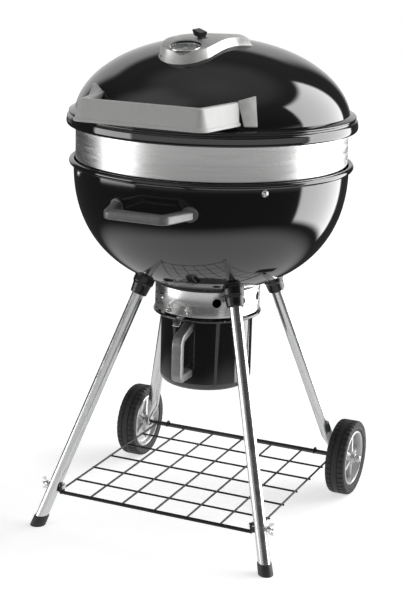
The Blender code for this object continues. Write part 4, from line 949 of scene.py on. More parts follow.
def vent_parts(inset, lift, sink, edge_drop):
    """The cover's outside, or its hollow: crowned top, leaning S-shaped side."""
    grow = VENT_BASE_R - VENT_TOP_R
    shares = [-1.0, -0.985, -0.955, -0.85, -0.6, -0.3, 0.0, 0.3, 0.6, 0.85, 0.955, 0.985, 1.0]
    drops = {1.0: 1.0, 0.985: 0.38, 0.955: 0.08}
    stations = [-VENT_TOP_R * cos(radians(a)) for a in (5, 12, 20, 29, 38, 48, 58, 68, 79)]
    stations += [0.012 + (VENT_LENGTH - 0.012) * i / 26 for i in range(27)]
    points, faces, rows = [], [], []
    for k, forward in enumerate(stations):
        along = forward * (1 - inset / VENT_TOP_R) if forward < 0 else forward - inset * forward / VENT_LENGTH
        half = vent_half_width(forward, inset)
        if forward < 0:
            half = sqrt(VENT_TOP_R ** 2 - forward ** 2) * (1 - inset / VENT_TOP_R)
        ends = 1.0 if k in (0, len(stations) - 1) else 0.0
        row = []
        for share in shares:
            drop = max(drops.get(abs(share), 0.0), ends) * edge_drop
            row.append((len(points), along, half * share))
            points.append(vent_point(along, half * share) - Vector((0, 0, lift + drop)))
        rows.append(row)
    for near, far in zip(rows, rows[1:]):
        for i in range(len(shares) - 1):
            faces.append((near[i][0], near[i + 1][0], far[i + 1][0], far[i][0]))
    edge = rows[0] + [row[-1] for row in rows[1:]] + rows[-1][-2::-1] + [row[0] for row in rows[-2:0:-1]]
    walls = [[item[0] for item in edge]]
    for t in (0.35, 0.7, 0.9, 1.0, 1.06):
        ring = []
        for index, u, v in edge:
            stretch = u + grow * t ** 1.6 if u >= VENT_LENGTH * 0.97 else u
            foot = vent_point(stretch, v, 0.0, grow * min(t, 1.0) ** 1.6)
            top = vent_point(u, v).z - lift - edge_drop
            foot.z = top + (foot.z - top) * min(t, 1.0) - (sink if t > 1 else 0.0)
            ring.append(len(points))
            points.append(foot)
        walls.append(ring)
    for upper, lower in zip(walls, walls[1:]):
        for i in range(len(upper)):
            j = (i + 1) % len(upper)
            faces.append((upper[i], upper[j], lower[j], lower[i]))
    centre = len(points)
    points.append(vent_point(0.04, 0.0, 0.0) - Vector((0, 0, sink)))
    last = walls[-1]
    for i in range(len(last)):
        faces.append((last[i], last[(i + 1) % len(last)], centre))
    return moved((points, faces), KETTLE)


def make_vent_cover():
    piece = add_mesh("vent_cover_visual", *vent_parts(0.0, 0.0, 0.010, 0.0012), CASTING)
    tools = [vent_parts(VENT_SHEET, VENT_SHEET, 0.014, 0.0006), lid_envelope(),
             cylinder_parts(DIAL_FRAME.translation, DIAL_FRAME @ Vector((0, 0, 0.05)), DIAL_R + 0.0006, 64)]
    centre = KNOB_PLACE + 0.0055
    slot = [(x, y + centre) for x, y in rounded_box(0.0090, KNOB_SLOT, 0.004)]
    tools.append(moved(skinned(levelled(slot, 0.004, 0.040)), VENT_FRAME))
    for i in range(VENT_SIDE_HOLES):
        angle = VENT_TURN + radians(-108 - 15 * i)
        x, y = VENT_X + VENT_SIDE_R * sin(angle), VENT_Y + VENT_SIDE_R * cos(angle)
        place = KETTLE @ shifted(x, y, lid_height(x, y) + 0.0042) @ spun(-angle)
        tools.append(box_parts((0.0075, 0.020, 0.0036), place))
    belongs(carved(piece, tools), "lid", "satin_casting", "vent_cover")


def make_vent_slider():
    outline = softened([(0.0150, 0.0205), (0.0150, 0.0645), (-0.0150, 0.0645), (-0.0150, 0.0205)], 0.002, 3)
    plate = put("vent_slider_visual", skinned(levelled(outline, 0.0016, 0.0028)), BAR_STEEL, VENT_FRAME)
    belongs(carved(plate, vent_slot_cutters(0.01)), "vent_slider", "brushed_steel", "vent_slider_plate")
    stem = rounded_box(0.0070, 0.0070, 0.001, 2)
    parts = [skinned([[Vector((x * s, KNOB_PLACE + y * s, z)) for x, y in stem] for z, s in
                      ((0.0031, 1.0), (0.0200, 1.0), (0.0212, 1.5), (0.0222, 1.9))])]
    teeth = []
    count = 7
    for i in range(count):
        left, right = -1 + 2 * i / count, -1 + 2 * (i + 1) / count
        step = right - left
        teeth += [(left + step * part, deep) for part, deep in
                  ((0.10, 0.90), (0.28, 1.0), (0.72, 1.0), (0.90, 0.90))]
    outline = teeth + [(-x, -y) for x, y in teeth]
    rings = []
    for height, wide, deep in ((0.0215, 0.0105, 0.0056), (0.0222, 0.0118, 0.0066), (0.0300, 0.0149, 0.0082),
                               (0.0322, 0.0152, 0.0084), (0.0330, 0.0146, 0.0078)):
        rings.append([Vector((x * wide, KNOB_PLACE + y * deep, height)) for x, y in outline])
    parts.append(skinned(rings))
    knob = put("vent_knob_visual", merged(parts), KNOB_BLACK, VENT_FRAME)
    belongs(knob, "vent_slider", "black_plastic", "vent_knob")


def dial_arc(inner, outer, start, end, height, steps=40):
    """A flat raised arc on the dial between two clock angles."""
    low = height - 0.0001
    rings = []
    for i in range(steps + 1):
        angle = start + (end - start) * i / steps
        rings.append([Vector((sin(angle) * radius, cos(angle) * radius, z)) for radius, z in
                      ((inner, low), (outer, low), (outer, height), (inner, height))])
    return skinned(rings)


def make_gauge():
    top = DIAL_TOP
    outline = [(0.0, top - 0.0075), (0.0270, top - 0.0075), (0.0270, top - 0.0004), (DIAL_R - 0.0018, top),
               (DIAL_R, top - 0.0013), (DIAL_R, top - 0.0100), (0.0080, top - 0.0120), (0.0080, 0.0030),
               (0.0035, 0.0030), (0.0035, -0.0550), (0.0, -0.0550)]
    reach = [0, 0.0008, 0.0006, 0.0012, 0.0012, 0.001, 0.001, 0.001, 0.0008, 0.0012, 0]
    profile = rounded(outline, reach, 4, False)
    case = turned("gauge_case", profile, PLATED, 72, DIAL_FRAME, closed=False)
    belongs(case, "lid", "brushed_steel", "thermometer_case")
    floor = top - 0.0075 + AIR
    outline = [(0.0012, floor + 0.0008), (0.0258, floor + 0.0008), (0.0262, floor + 0.0005), (0.0262, floor),
               (0.0012, floor)]
    face = turned("gauge_face", outline, DIAL_PRINT, 72, DIAL_FRAME)
    belongs(face, "lid", "dial_face", "thermometer_face")
    level, scale_end, tick_r = floor + 0.0009, 125, 0.0245
    ticks = []
    for i in range(DIAL_TICKS):
        angle = radians(-scale_end + 2 * scale_end * i / (DIAL_TICKS - 1))
        length, half = (0.0042, 0.00035) if i % 5 == 0 else (0.0022, 0.00018)
        turn = half / (tick_r - 0.0010)
        ticks.append(dial_arc(tick_r - length, tick_r, angle - turn, angle + turn, level, 1))
    ticks.append(dial_arc(0.0247, 0.0250, radians(-scale_end), radians(scale_end), level, 60))
    belongs(put("gauge_ticks", merged(ticks), DIAL_MARKS, DIAL_FRAME), "lid", "dial_face")
    zone = [dial_arc(0.0168, 0.0186, radians(-40), radians(18), level, 24),
            dial_arc(0.0168, 0.0186, radians(24), radians(82), level, 24)]
    belongs(put("gauge_zones", merged(zone), DIAL_ZONE, DIAL_FRAME), "lid", "dial_face")
    outline = [(0.0, top - 0.0010), (0.0263, top - 0.0010), (0.0266, top - 0.0013), (0.0266, top - 0.0022),
               (0.0, top - 0.0022)]
    glass = turned("gauge_glass", outline, GLASS, 72, DIAL_FRAME, closed=False)
    belongs(glass, "lid", "gauge_glass", "thermometer_glass")
    height = floor + 0.0016
    outline = rounded([(0.0022, -0.0050), (0.0022, 0.0), (0.0004, 0.0215), (-0.0004, 0.0215), (-0.0022, 0.0),
                       (-0.0022, -0.0050)], [0.0015, 0.002, 0.0003, 0.0003, 0.002, 0.0015], 3)
    rings = levelled(outline, height, height + 0.0008)
    profile = [(0.0, height + 0.0022), (0.0020, height + 0.0020), (0.0028, height + 0.0012),
               (0.0028, height), (0.0, height)]
    boss = revolve(profile, 28, False)
    place = DIAL_FRAME @ spun(NEEDLE_COLD)
    needle = put("gauge_needle", merged([skinned(rings), boss]), NEEDLE_WHITE, place)
    belongs(needle, "thermometer_needle", "needle_white", "thermometer_needle")


# --------------------------------------------------------- inside the bowl
GRATE_WIRE_R = 0.0028
GRATE_ROD_STEP = 1.7 * GRATE_WIRE_R  # rods are welded a little into the ring


def make_brackets():
    wall, flange = 0.2722, 0.0012
    top = BRACKET_Z
    for name, azimuth in zip(ROW_NAMES, ROW_ANGLES):
        frame = KETTLE @ spun(azimuth)
        corners = [(0.2380, top - flange), (wall, top - flange), (wall, 0.7345), (wall - flange, 0.7345),
                   (wall - flange, top), (0.2380, top)]
        section = rounded(corners, [0.0005, 0.0030, 0.0005, 0.0005, 0.0022, 0.0005], 5)
        rings = []
        for x, inset in ((-0.0150, 0.0003), (-0.0147, 0.0), (0.0147, 0.0), (0.0150, 0.0003)):
            rings.append([Vector((x, -(r + (inset if r < 0.25 else 0.0)), z)) for r, z in section])
        bracket = put("bracket_" + name, skinned(rings), BAR_STEEL, frame)
        belongs(bracket, "stand", "brushed_steel", "grate_bracket_" + name)
        low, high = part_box("grate_rivet_" + name)
        centre = (low.z + high.z) / 2
        head = BOWL_R + 0.0003
        tip = wall - flange + 0.0002
        outline = [(0.0013, head + 0.0014), (0.0016, head + 0.0030), (0.0034, head + 0.0030),
                   (0.0048, head + 0.0011), (0.0066, head + 0.0010), (0.0066, head), (0.0029, head),
                   (0.0029, tip), (0.0, tip)]
        profile = [(0.0, head + 0.0014)] + rounded(outline[:-1], 0.0005, 3, False) + [outline[-1]]
        place = frame @ shifted(0, 0, centre) @ spun(pi / 2, "X")
        rivet = turned("rivet_" + name, profile, PLATED, 32, place, closed=False)
        belongs(rivet, "stand", "brushed_steel", "grate_rivet_" + name)


def make_cooking_grate():
    radius, wire = 0.2590, GRATE_WIRE_R
    ring_z = BRACKET_Z + AIR + wire
    rod_z = ring_z + GRATE_ROD_STEP
    parts = wire_parts([circle(radius, ring_z, 120)], wire, 14, True)
    rods = chord_rods(radius, [i * 0.0220 for i in range(-6, 7)], rod_z)
    rods += chord_rods(radius, (-0.130, 0.130), ring_z, True)
    for side in (-1, 1):
        x, half, top = side * chord(radius, 0.0350), 0.0350, ring_z + 0.0240
        loop = [(x, -half, ring_z), (x, -half, top), (x, half, top), (x, half, ring_z)]
        rods.append(softened(loop, 0.0120, 8, False))
    parts += wire_parts(rods, wire, 14)
    grate = put("cooking_grate_visual", merged(parts), GRILL_WIRE)
    belongs(grate, "cooking_grate", "brushed_steel", "cooking_grate")
    hinge_x = 0.1320
    for side, name in ((-1, "left"), (1, "right")):
        rods = []
        for i in range(5):
            x = 0.0150 + 0.0190 * i
            reach = chord(radius - 0.010, hinge_x + x) - 0.004
            z = ring_z + 2 * wire + AIR
            rods.append([(side * (hinge_x + x), -reach, z), (side * (hinge_x + x), reach, z)])
        hook_r = 2 * wire + AIR
        hook = [(hinge_x + 0.0950, rod_z + hook_r), (hinge_x + 0.004, rod_z + hook_r)]
        hook += arc((hinge_x, rod_z), hook_r, [90 + 5.625 * i for i in range(17)])
        for y in (-0.060, 0.060):
            rods.append([(side * x, y, z) for x, z in hook])
        flap = put("grate_flap_visual_" + name, merged(wire_parts(rods, wire, 14)), GRILL_WIRE)
        belongs(flap, "grate_flap_" + name, "brushed_steel", "grate_flap_" + name)


def make_charcoal_grate():
    radius, wire, z = 0.2050, GRATE_WIRE_R, 0.5660
    parts = wire_parts([circle(radius, z, 120)], wire, 14, True)
    rods = chord_rods(radius, [i * 0.0340 for i in range(-5, 6)], z + GRATE_ROD_STEP)
    rods += chord_rods(radius, (-0.080, 0.080), z, True)
    parts += wire_parts(rods, wire, 14)
    grate = put("charcoal_grate_visual", merged(parts), FIRED_STEEL)
    belongs(grate, "charcoal_grate", "dark_steel", "charcoal_grate")


# -------------------------------------------------------- ash clearing system
LATCH_AZIMUTH = radians(-8.0)
LATCH_Z = 0.4510
LATCH_TURN = KETTLE @ spun(LATCH_AZIMUTH)
LATCH_FRAME = KETTLE @ shifted(*out(0.1125, LATCH_AZIMUTH, LATCH_Z)) @ spun(LATCH_AZIMUTH)
LEVER_AZIMUTH = radians(-5.0)
LEVER_HIGH, LEVER_LOW, LEVER_TIP = 0.4815, 0.4405, 0.4270
AIR_HOLE_Z = 0.4740
POT_BEAD_R = 0.0030


def make_damper():
    clearance, thick = BOWL_SHEET + 0.0020, 0.0015
    radii = (0.090, 0.080, 0.068, 0.055, 0.042, 0.030, 0.018, 0.008)
    lower = [(r, bowl_height(r, -clearance)) for r in radii]
    upper = [(r, z + thick) for r, z in lower]
    bottom = BOWL_RIM_Z - BOWL_DEPTH + clearance
    profile = [(0.0, bottom + thick), *upper[::-1], *lower, (0.0, bottom)]
    blades = turned("damper_blades_visual", profile, FIRED_STEEL, POT_STEPS, closed=False)
    half = pi / 4 - radians(18)
    gaps = [moved(sector(half, 0.022, 0.110, azimuth, 0.47, 0.53), KETTLE) for azimuth in ROW_ANGLES]
    belongs(carved(blades, gaps), "lower_damper", "dark_steel", "damper_blades")
    foot = 0.4840
    top = bottom - AIR
    outline = [(0.0, top), (0.0040, top), (0.0040, foot), (0.0090, foot), (0.0090, foot - 0.004),
               (0.0, foot - 0.004)]
    spindle = revolve(rounded(outline, [0, 0.0006, 0.0006, 0.0006, 0.0006, 0], 3, False), 32, False)
    bends = ((0.0, LEVER_HIGH), (0.0900, LEVER_HIGH), (0.0985, LEVER_LOW), (0.1135, LEVER_LOW),
             (0.1300, LEVER_TIP))
    path = softened([out(r, LEVER_AZIMUTH, z) for r, z in bends], 0.006, 6, False)
    section = rounded_box(0.0018, 0.0150, 0.0006, 3)
    strap = skinned(bar_rings(path, section, out(1.0, LEVER_AZIMUTH + pi / 2)))
    lever = put("damper_lever_visual", merged([spindle, strap]), PLATED)
    belongs(lever, "lower_damper", "bright_steel", "damper_lever")


def make_collar():
    inner = COLLAR_R - 0.0015
    top, base = COLLAR_HIGH.z, COLLAR_LOW.z
    outline = [(inner, top), (COLLAR_R, top), (COLLAR_R, base), (inner, base)]
    piece = turned("collar_visual", rounded(outline, 0.0005, 3), COLLAR_STEEL, KETTLE_STEPS)
    holes = []
    for degrees in (34, 64, 94, 124, 154):
        for side in (-1, 1):
            near, far = (out(radius, radians(side * degrees), AIR_HOLE_Z) for radius in (0.095, 0.120))
            holes.append(moved(cylinder_parts(near, far, 0.0092, 36), KETTLE))
    belongs(carved(piece, holes), "stand", "brushed_steel", "ash_collar")
    low = RING_LOW.z
    outline = [(inner - 0.001, 0.5100), (0.1098, 0.5100), (0.1110, 0.5060), (0.1098, low),
               (inner - 0.001, low)]
    profile = rounded(outline, [0.0, 0.002, 0.003, 0.002, 0.0006], 5)
    ring = turned("collar_ring_visual", profile, BLACK_PAINT, KETTLE_STEPS)
    belongs(carved(ring, [bowl_envelope()]), "stand", "black_metal", "collar_ring")


def make_pot():
    bottom, rim_z, corner, sheet = POT_LOW.z, POT_HIGH.z, 0.0150, 0.0015
    bead_z = rim_z - POT_BEAD_R
    rim = [(POT_R - sheet, rim_z - 0.0004), (POT_R - sheet + 0.0004, rim_z)]
    rim += arc((POT_RIM_R - POT_BEAD_R, bead_z), POT_BEAD_R, range(90, -100, -15))
    rim += [(POT_R + 0.0022, bead_z - POT_BEAD_R), (POT_R + 0.0006, bead_z - 0.0036),
            (POT_R, bead_z - 0.0060)]
    centre, down = (POT_R - corner, bottom + corner), range(0, -91, -9)
    outer, inner = arc(centre, corner, down), arc(centre, corner - sheet, down)
    profile = held([(0.0, bottom + sheet)] + inner[::-1] + rim + outer + [(0.0, bottom)])
    pot = turned("pot_visual", profile, PORCELAIN, KETTLE_STEPS, closed=False)
    belongs(pot, "ash_pot", "black_porcelain", "ash_pot")
    path = softened([(0.0015, -0.090, 0.4200), (0.0015, -0.1430, 0.4020), (0.0015, -0.1430, 0.3215),
                     (0.0015, -0.090, 0.3215)], 0.012, 9, False)
    section = rounded_box(0.0180, 0.0210, 0.0042, 5)
    grip = put("pot_handle_visual", skinned(bar_rings(path, section, (1, 0, 0))), SHADED_POT_GRIP)
    room = [(0.0, 0.50), (POT_R + AIR, 0.50), (POT_R + AIR, 0.25), (0.0, 0.25)]
    wall = moved(revolve(room, KETTLE_STEPS, False), KETTLE)
    belongs(carved(grip, [wall]), "ash_pot", "grey_grip", "pot_handle")


def screw_head(azimuth, height, radius, size):
    """A low domed screw head, facing outwards."""
    place = KETTLE @ spun(azimuth) @ shifted(0, -radius, height) @ spun(pi / 2, "X")
    shares = ((0.0, 0.42), (0.45, 0.38), (0.80, 0.22), (1.0, 0.0), (0.0, 0.0))
    return moved(revolve([(size * r, size * z) for r, z in shares], 28, False), place)


def make_latch():
    low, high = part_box("latch_plate")
    base, top = low.z, high.z
    near, far = COLLAR_R + 0.0004, COLLAR_R + 0.0016
    strip = []
    for i in range(25):
        azimuth = LATCH_AZIMUTH + radians(-16 + 32 * i / 24)
        strip.append([out(r, azimuth, z) for r, z in ((near, base), (far, base), (far, top), (near, top))])
    plate = [moved(skinned(strip), KETTLE)]
    for side in (-1, 1):
        lug = [(y * 0.0045 - 0.1113, z * 0.0040 + LATCH_Z) for y, z in ((-1, -1), (1, -1), (1, 1), (-1, 1))]
        lug = rounded(lug, 0.0022)
        rings = [[Vector((side * 0.0240 + x, y, z)) for y, z in lug] for x in (-0.0015, 0.0015)]
        plate.append(moved(skinned(rings), LATCH_TURN))
        azimuth, height = LATCH_AZIMUTH + side * radians(9.0), (base + top) / 2 + 0.001
        plate.append(screw_head(azimuth, height, COLLAR_R + 0.0015, 0.0030))
    belongs(add_mesh("latch_plate_visual", *merged(plate), PLATED), "stand", "bright_steel", "latch_plate")
    side_x = 0.0210
    path = [(-0.0250, 0, 0), (-side_x, 0, 0), (-side_x + 0.001, 0, 0.0160), (-0.0080, 0, 0.0245),
            (0.0110, 0, 0.0215), (side_x - 0.001, 0, 0.0160), (side_x, 0, 0), (0.0250, 0, 0)]
    wire = merged(wire_parts([softened(path, 0.0035, 6, False)], 0.0010, 14))
    belongs(put("latch_wire_visual", wire, PLATED, LATCH_FRAME), "latch_wire", "bright_steel", "latch_wire")


# -------------------------------------------------------------------- stand
LEG_TOP_FRONT = Vector((0.1000, -0.0980, 0.5000))
LEG_FOOT_FRONT = Vector((0.2530, -0.2606, 0.0000))
LEG_TOP_REAR = Vector((0.1140, 0.0760, 0.4950))
AXLE_POINT = Vector((0.2245, AXLE_Y - AXIS_Y, AXLE_Z))
BOLT_Z = 0.0830
BOLT_POINT = LEG_FOOT_FRONT.lerp(LEG_TOP_FRONT, BOLT_Z / LEG_TOP_FRONT.z)
TAB_X = BOLT_POINT.x - 0.0155
LEG_SIDES = 48


def mirrored(point, side):
    return Vector((point.x * side, point.y, point.z))


def leg_ring(centre, axis, radius, flat):
    """A ring of the tube: square to its axis, or level with the floor."""
    first = (Vector((1, 0, 0)) - axis * axis.x).normalized()
    second = axis.cross(first)
    if flat:
        first = first - axis * (first.z / axis.z)
        second = second - axis * (second.z / axis.z)
    angles = [tau * i / LEG_SIDES for i in range(LEG_SIDES)]
    return [centre + (first * cos(a) + second * sin(a)) * radius for a in angles]


def make_front_leg(side, name):
    top, foot = mirrored(LEG_TOP_FRONT, side), mirrored(LEG_FOOT_FRONT, side)
    axis = (top - foot).normalized()
    end = foot + axis * (0.0095 / axis.z)
    steps = 24
    rings = [leg_ring(end.lerp(top, i / steps), axis, TUBE_R, False) for i in range(steps + 1)]
    leg = put("leg_front_visual_" + name, skinned(rings), TUBE_METAL)
    belongs(leg, "stand", "polished_aluminium", "leg_front_" + name)
    make_socket("front_" + name, top, axis)
    levels = ((0.0, 0.0140), (0.0008, 0.0148), (0.0120, 0.0146), (0.0192, 0.0143), (0.0210, 0.0139),
              (0.0213, 0.0131))
    rings = [leg_ring(foot + axis * (z / axis.z), axis, radius, True) for z, radius in levels]
    cap = put("foot_cap_visual_" + name, skinned(rings), CAP_BLACK)
    bore = [leg_ring(end + axis * t, axis, TUBE_R + 0.0002, False) for t in (-AIR, 0.05)]
    carved(cap, [moved(skinned(bore), KETTLE)])
    belongs(cap, "stand", "black_plastic", "foot_cap_" + name)
    make_bolt(name, side, foot + axis * (BOLT_Z / axis.z))


def make_rear_leg(side, name):
    top, hub = mirrored(LEG_TOP_REAR, side), mirrored(AXLE_POINT, side)
    axis = (top - hub).normalized()
    low = hub + axis * ((0.1280 - hub.z) / axis.z)
    first = (Vector((1, 0, 0)) - axis * axis.x).normalized()
    sign = 1 if axis.cross(first).y > 0 else -1
    half_x, half_y = 0.0025, 0.0145

    def tab(forward, up, share=1.0):
        """A ring of the flattened end, set off from the axle's point."""
        centre = hub + Vector((0.0, forward, up))
        angles = [tau * i / LEG_SIDES for i in range(LEG_SIDES)]
        return [centre + Vector((half_x * cos(a), sign * half_y * share * sin(a), 0)) for a in angles]

    flat_top, tube_end = tab(0.0, 0.0100), leg_ring(low, axis, TUBE_R, True)
    rings = []
    for angle in range(8, 90, 9):
        share, fall = sin(radians(angle)), cos(radians(angle))
        rings.append(tab(0.0008 * fall, -half_y * fall, share))
    rings.append(tab(0.0, 0.003))
    for i in range(13):
        t = i / 12
        t = t * t * (3 - 2 * t) * 0.6 + t * 0.4
        rings.append([p.lerp(q, t) for p, q in zip(flat_top, tube_end)])
    for i in range(1, 21):
        rings.append(leg_ring(low.lerp(top, i / 20), axis, TUBE_R, i < 2))
    leg = put("leg_rear_visual_" + name, skinned(rings), TUBE_METAL)
    belongs(leg, "stand", "polished_aluminium", "leg_rear_" + name)
    make_socket("rear_" + name, top, axis)


def make_socket(name, top, axis):
    """A glossy moulded cup: a wide flange under the bowl, a narrower sleeve."""
    place = KETTLE @ shifted(*top) @ facing(axis)
    bore = TUBE_R + 0.0004
    outline = [(0.0, 0.024), (0.0215, 0.024), (0.0215, -0.0018), (0.0188, -0.0055), (0.0176, -0.0200),
               (0.0168, -0.026), (bore, -0.026), (bore, AIR), (0.0, AIR)]
    profile = rounded(outline, [0, 0, 0.0022, 0.0022, 0.004, 0.0016, 0.0006, 0.0004, 0], 5, False)
    socket = turned("leg_socket_visual_" + name, profile, SOCKET_BLACK, 64, place, closed=False)
    belongs(carved(socket, [bowl_envelope()]), "stand", "black_plastic", "leg_socket_" + name)


def hexagon(radius, low, high):
    """A six-sided head with its corners turned down a little."""
    corner = [Vector((cos(tau * i / 6), sin(tau * i / 6), 0)) for i in range(6)]
    dense = []
    for i in range(6):
        for k in range(4):
            dense.append(corner[i].lerp(corner[(i + 1) % 6], k / 4))
    rings = []
    for z, limit in ((low, 0.91), (low + 0.0007, 1.0), (high - 0.0007, 1.0), (high, 0.91)):
        rings.append([p * radius * min(1.0, limit / p.length) + Vector((0, 0, z)) for p in dense])
    return skinned(rings)


def make_bolt(name, side, centre):
    frame = KETTLE @ shifted(*centre) @ spun(side * pi / 2, "Y")
    tab = TAB_X - abs(centre.x) - 0.0030 - AIR
    tip, radius = 0.0280, 0.0030
    profile = [(0.0, tab - 0.0005), (radius, tab - 0.0005)]
    z = tab
    while z < tip - 0.0009:
        profile += [(radius, z), (radius - 0.0003, z + 0.0004)]
        z += 0.0008
    profile += [(radius - 0.0008, tip), (0.0, tip)]
    shank = revolve(profile, 28, False)
    washer = revolve([(0.0, tab), (0.0058, tab), (0.0058, tab - 0.0007), (0.0, tab - 0.0007)], 32, False)
    parts = [shank, washer, hexagon(0.0052, tab - 0.0040, tab - 0.0006)]
    bolt = put("shelf_bolt_visual_" + name, merged(parts), PLATED, frame)
    belongs(bolt, "stand", "brushed_steel", "shelf_bolt_" + name)
    near, far = 0.0156, 0.0225
    bore = radius + 0.0002
    body = [(bore, near), (0.0060, near), (0.0064, near + 0.0006), (0.0060, near + 0.0026),
            (0.0044, far - 0.0006), (0.0040, far), (bore, far)]
    parts = [revolve(body, 40, True)]
    for wing in (-1, 1):
        outline = [(0.0040, near + 0.0008), (0.0090, near + 0.0018), (0.0128, near + 0.0060),
                   (0.0126, near + 0.0132), (0.0092, near + 0.0125), (0.0060, near + 0.0058),
                   (0.0040, near + 0.0052)]
        outline = softened(outline, [0, 0.002, 0.003, 0.002, 0.002, 0.002, 0], 4)
        rings = []
        for y, inset in ((-0.0011, 0.0004), (-0.0008, 0.0), (0.0008, 0.0), (0.0011, 0.0004)):
            rings.append([Vector((wing * (p[0] - (inset if p[0] > 0.006 else 0)), y, p[1])) for p in outline])
        parts.append(skinned(rings))
    nut = put("wing_nut_visual_" + name, merged(parts), PLATED, frame)
    belongs(nut, "stand", "brushed_steel", "wing_nut_" + name)


def make_shelf():
    half_x = SHELF_HIGH.x
    cells, level = 6, 0.0722
    grid_x, front, rear, stub = 0.2155, -0.2390, 0.2237, 0.0050
    step_x, step_y = 2 * grid_x / cells, (rear - front) / cells
    wires = []
    for i in range(cells + 1):
        x = -grid_x + i * step_x
        wires.append([(x, front, level), (x, rear + stub, level)])
    drop = level - 0.6 * SHELF_WIRE_R
    for i in range(1, cells):
        y = front + i * step_y
        wires.append([(-min(grid_x + stub, half_x), y, drop), (min(grid_x + stub, half_x), y, drop)])
    loop = AXLE_R + AIR + SHELF_WIRE_R + 0.0004
    for side in (-1, 1):
        x = side * 0.5 * (2 * grid_x - step_x)
        eye = [(x, rear, level), (x, AXLE_POINT.y + loop, AXLE_Z - 0.004)]
        for i in range(15):
            angle = pi * i / 14
            eye.append((x, AXLE_POINT.y + loop * cos(angle), AXLE_Z + loop * sin(angle)))
        eye.append((x, AXLE_POINT.y - loop, AXLE_Z - 0.0045))
        wires.append(eye)
    parts = wire_parts(wires, SHELF_WIRE_R, 14)
    end = TAB_X - 0.0015
    rails = [[(-half, y, level), (half, y, level)] for half, y in ((end, front), (grid_x + 0.002, rear))]
    parts += wire_parts(rails, SHELF_RAIL_R, 20)
    outline = [(-0.0090, -0.00475), (0.0090, -0.00475), (0.0090, 0.01675), (-0.0090, 0.01675)]
    outline = rounded(outline, 0.0060, 6)
    for side in (-1, 1):
        rings = []
        for x in (-0.0015, 0.0015):
            across = side * (TAB_X - 0.0015) + x
            rings.append([Vector((across, BOLT_POINT.y + y, level + z)) for y, z in outline])
        parts.append(skinned(rings))
    belongs(put("wire_shelf_visual", merged(parts), SHELF_BLACK), "stand", "black_wire", "wire_shelf")


# ------------------------------------------------------------------- wheels
TREAD_BLOCKS = 40
TREAD_DEPTH = 0.0016
RIM_SEAT = 0.0600
AXLE_R = 0.0040
HUB_RIBS = 5


def make_axle():
    half = WHEEL_INNER_X + WHEEL_WIDTH + 0.0105
    frame = KETTLE @ shifted(0.0, AXLE_POINT.y, AXLE_Z) @ spun(pi / 2, "Y")
    right = [(0.0, half), (0.0034, half), (AXLE_R, half - 0.0006)]
    profile = right + [(r, -x) for r, x in right[::-1]]
    axle = turned("axle_visual", profile, BLACK_PAINT, 40, frame, closed=False)
    belongs(axle, "stand", "black_metal", "axle")


def tyre_parts():
    """A solid tyre with two rows of tread blocks and notched shoulders."""
    width = WHEEL_WIDTH
    # Beside the rim: radius past its seat and place across
    foot = ((AIR, 0.0040), (0.0012, 0.0022), (0.0040, 0.0015), (0.0048, 0.0009), (0.0062, 0.0009),
            (0.0070, 0.0013))
    # Towards the tread: depth below it, place across, how deep its row's
    # grooves cut, and which row
    shoulder = ((0.0098, 0.0006, 0, 0), (0.0085, 0.0001, 0, 0), (0.0060, 0.0000, 0.5, 1),
                (0.0035, 0.0009, 1, 1), (0.0012, 0.0030, 1, 1), (0.0003, 0.0055, 1, 1), (0, 0.0085, 1, 1),
                (0, 0.0135, 1, 1), (TREAD_DEPTH, 0.0139, 0, 1), (TREAD_DEPTH, 0.0155, 0, 1),
                (0, 0.0159, 0, 0), (0, width / 2, 0, 0))
    wall = [(RIM_SEAT + past, across, 0, 0) for past, across in foot]
    wall += [(WHEEL_R - depth, across, cut, row) for depth, across, cut, row in shoulder]
    profile = list(wall)
    for radius, across, cut, row in reversed(wall[:-1]):
        profile.append((radius, width - across, cut, 2 if row == 1 else row))
    fractions = (0.0, 0.17, 0.20, 0.47, 0.50, 0.67, 0.70, 0.97)
    rings = []
    for block in range(TREAD_BLOCKS):
        for fraction in fractions:
            angle = tau * (block + fraction) / TREAD_BLOCKS
            ring = []
            for radius, across, cut, row in profile:
                in_first = fraction <= 0.17
                in_second = 0.50 <= fraction <= 0.67
                if (row == 1 and in_first) or (row == 2 and in_second):
                    radius -= TREAD_DEPTH * cut
                ring.append(Vector((radius * cos(angle), radius * sin(angle), across)))
            rings.append(ring)
    return skinned(rings, cyclic=True)


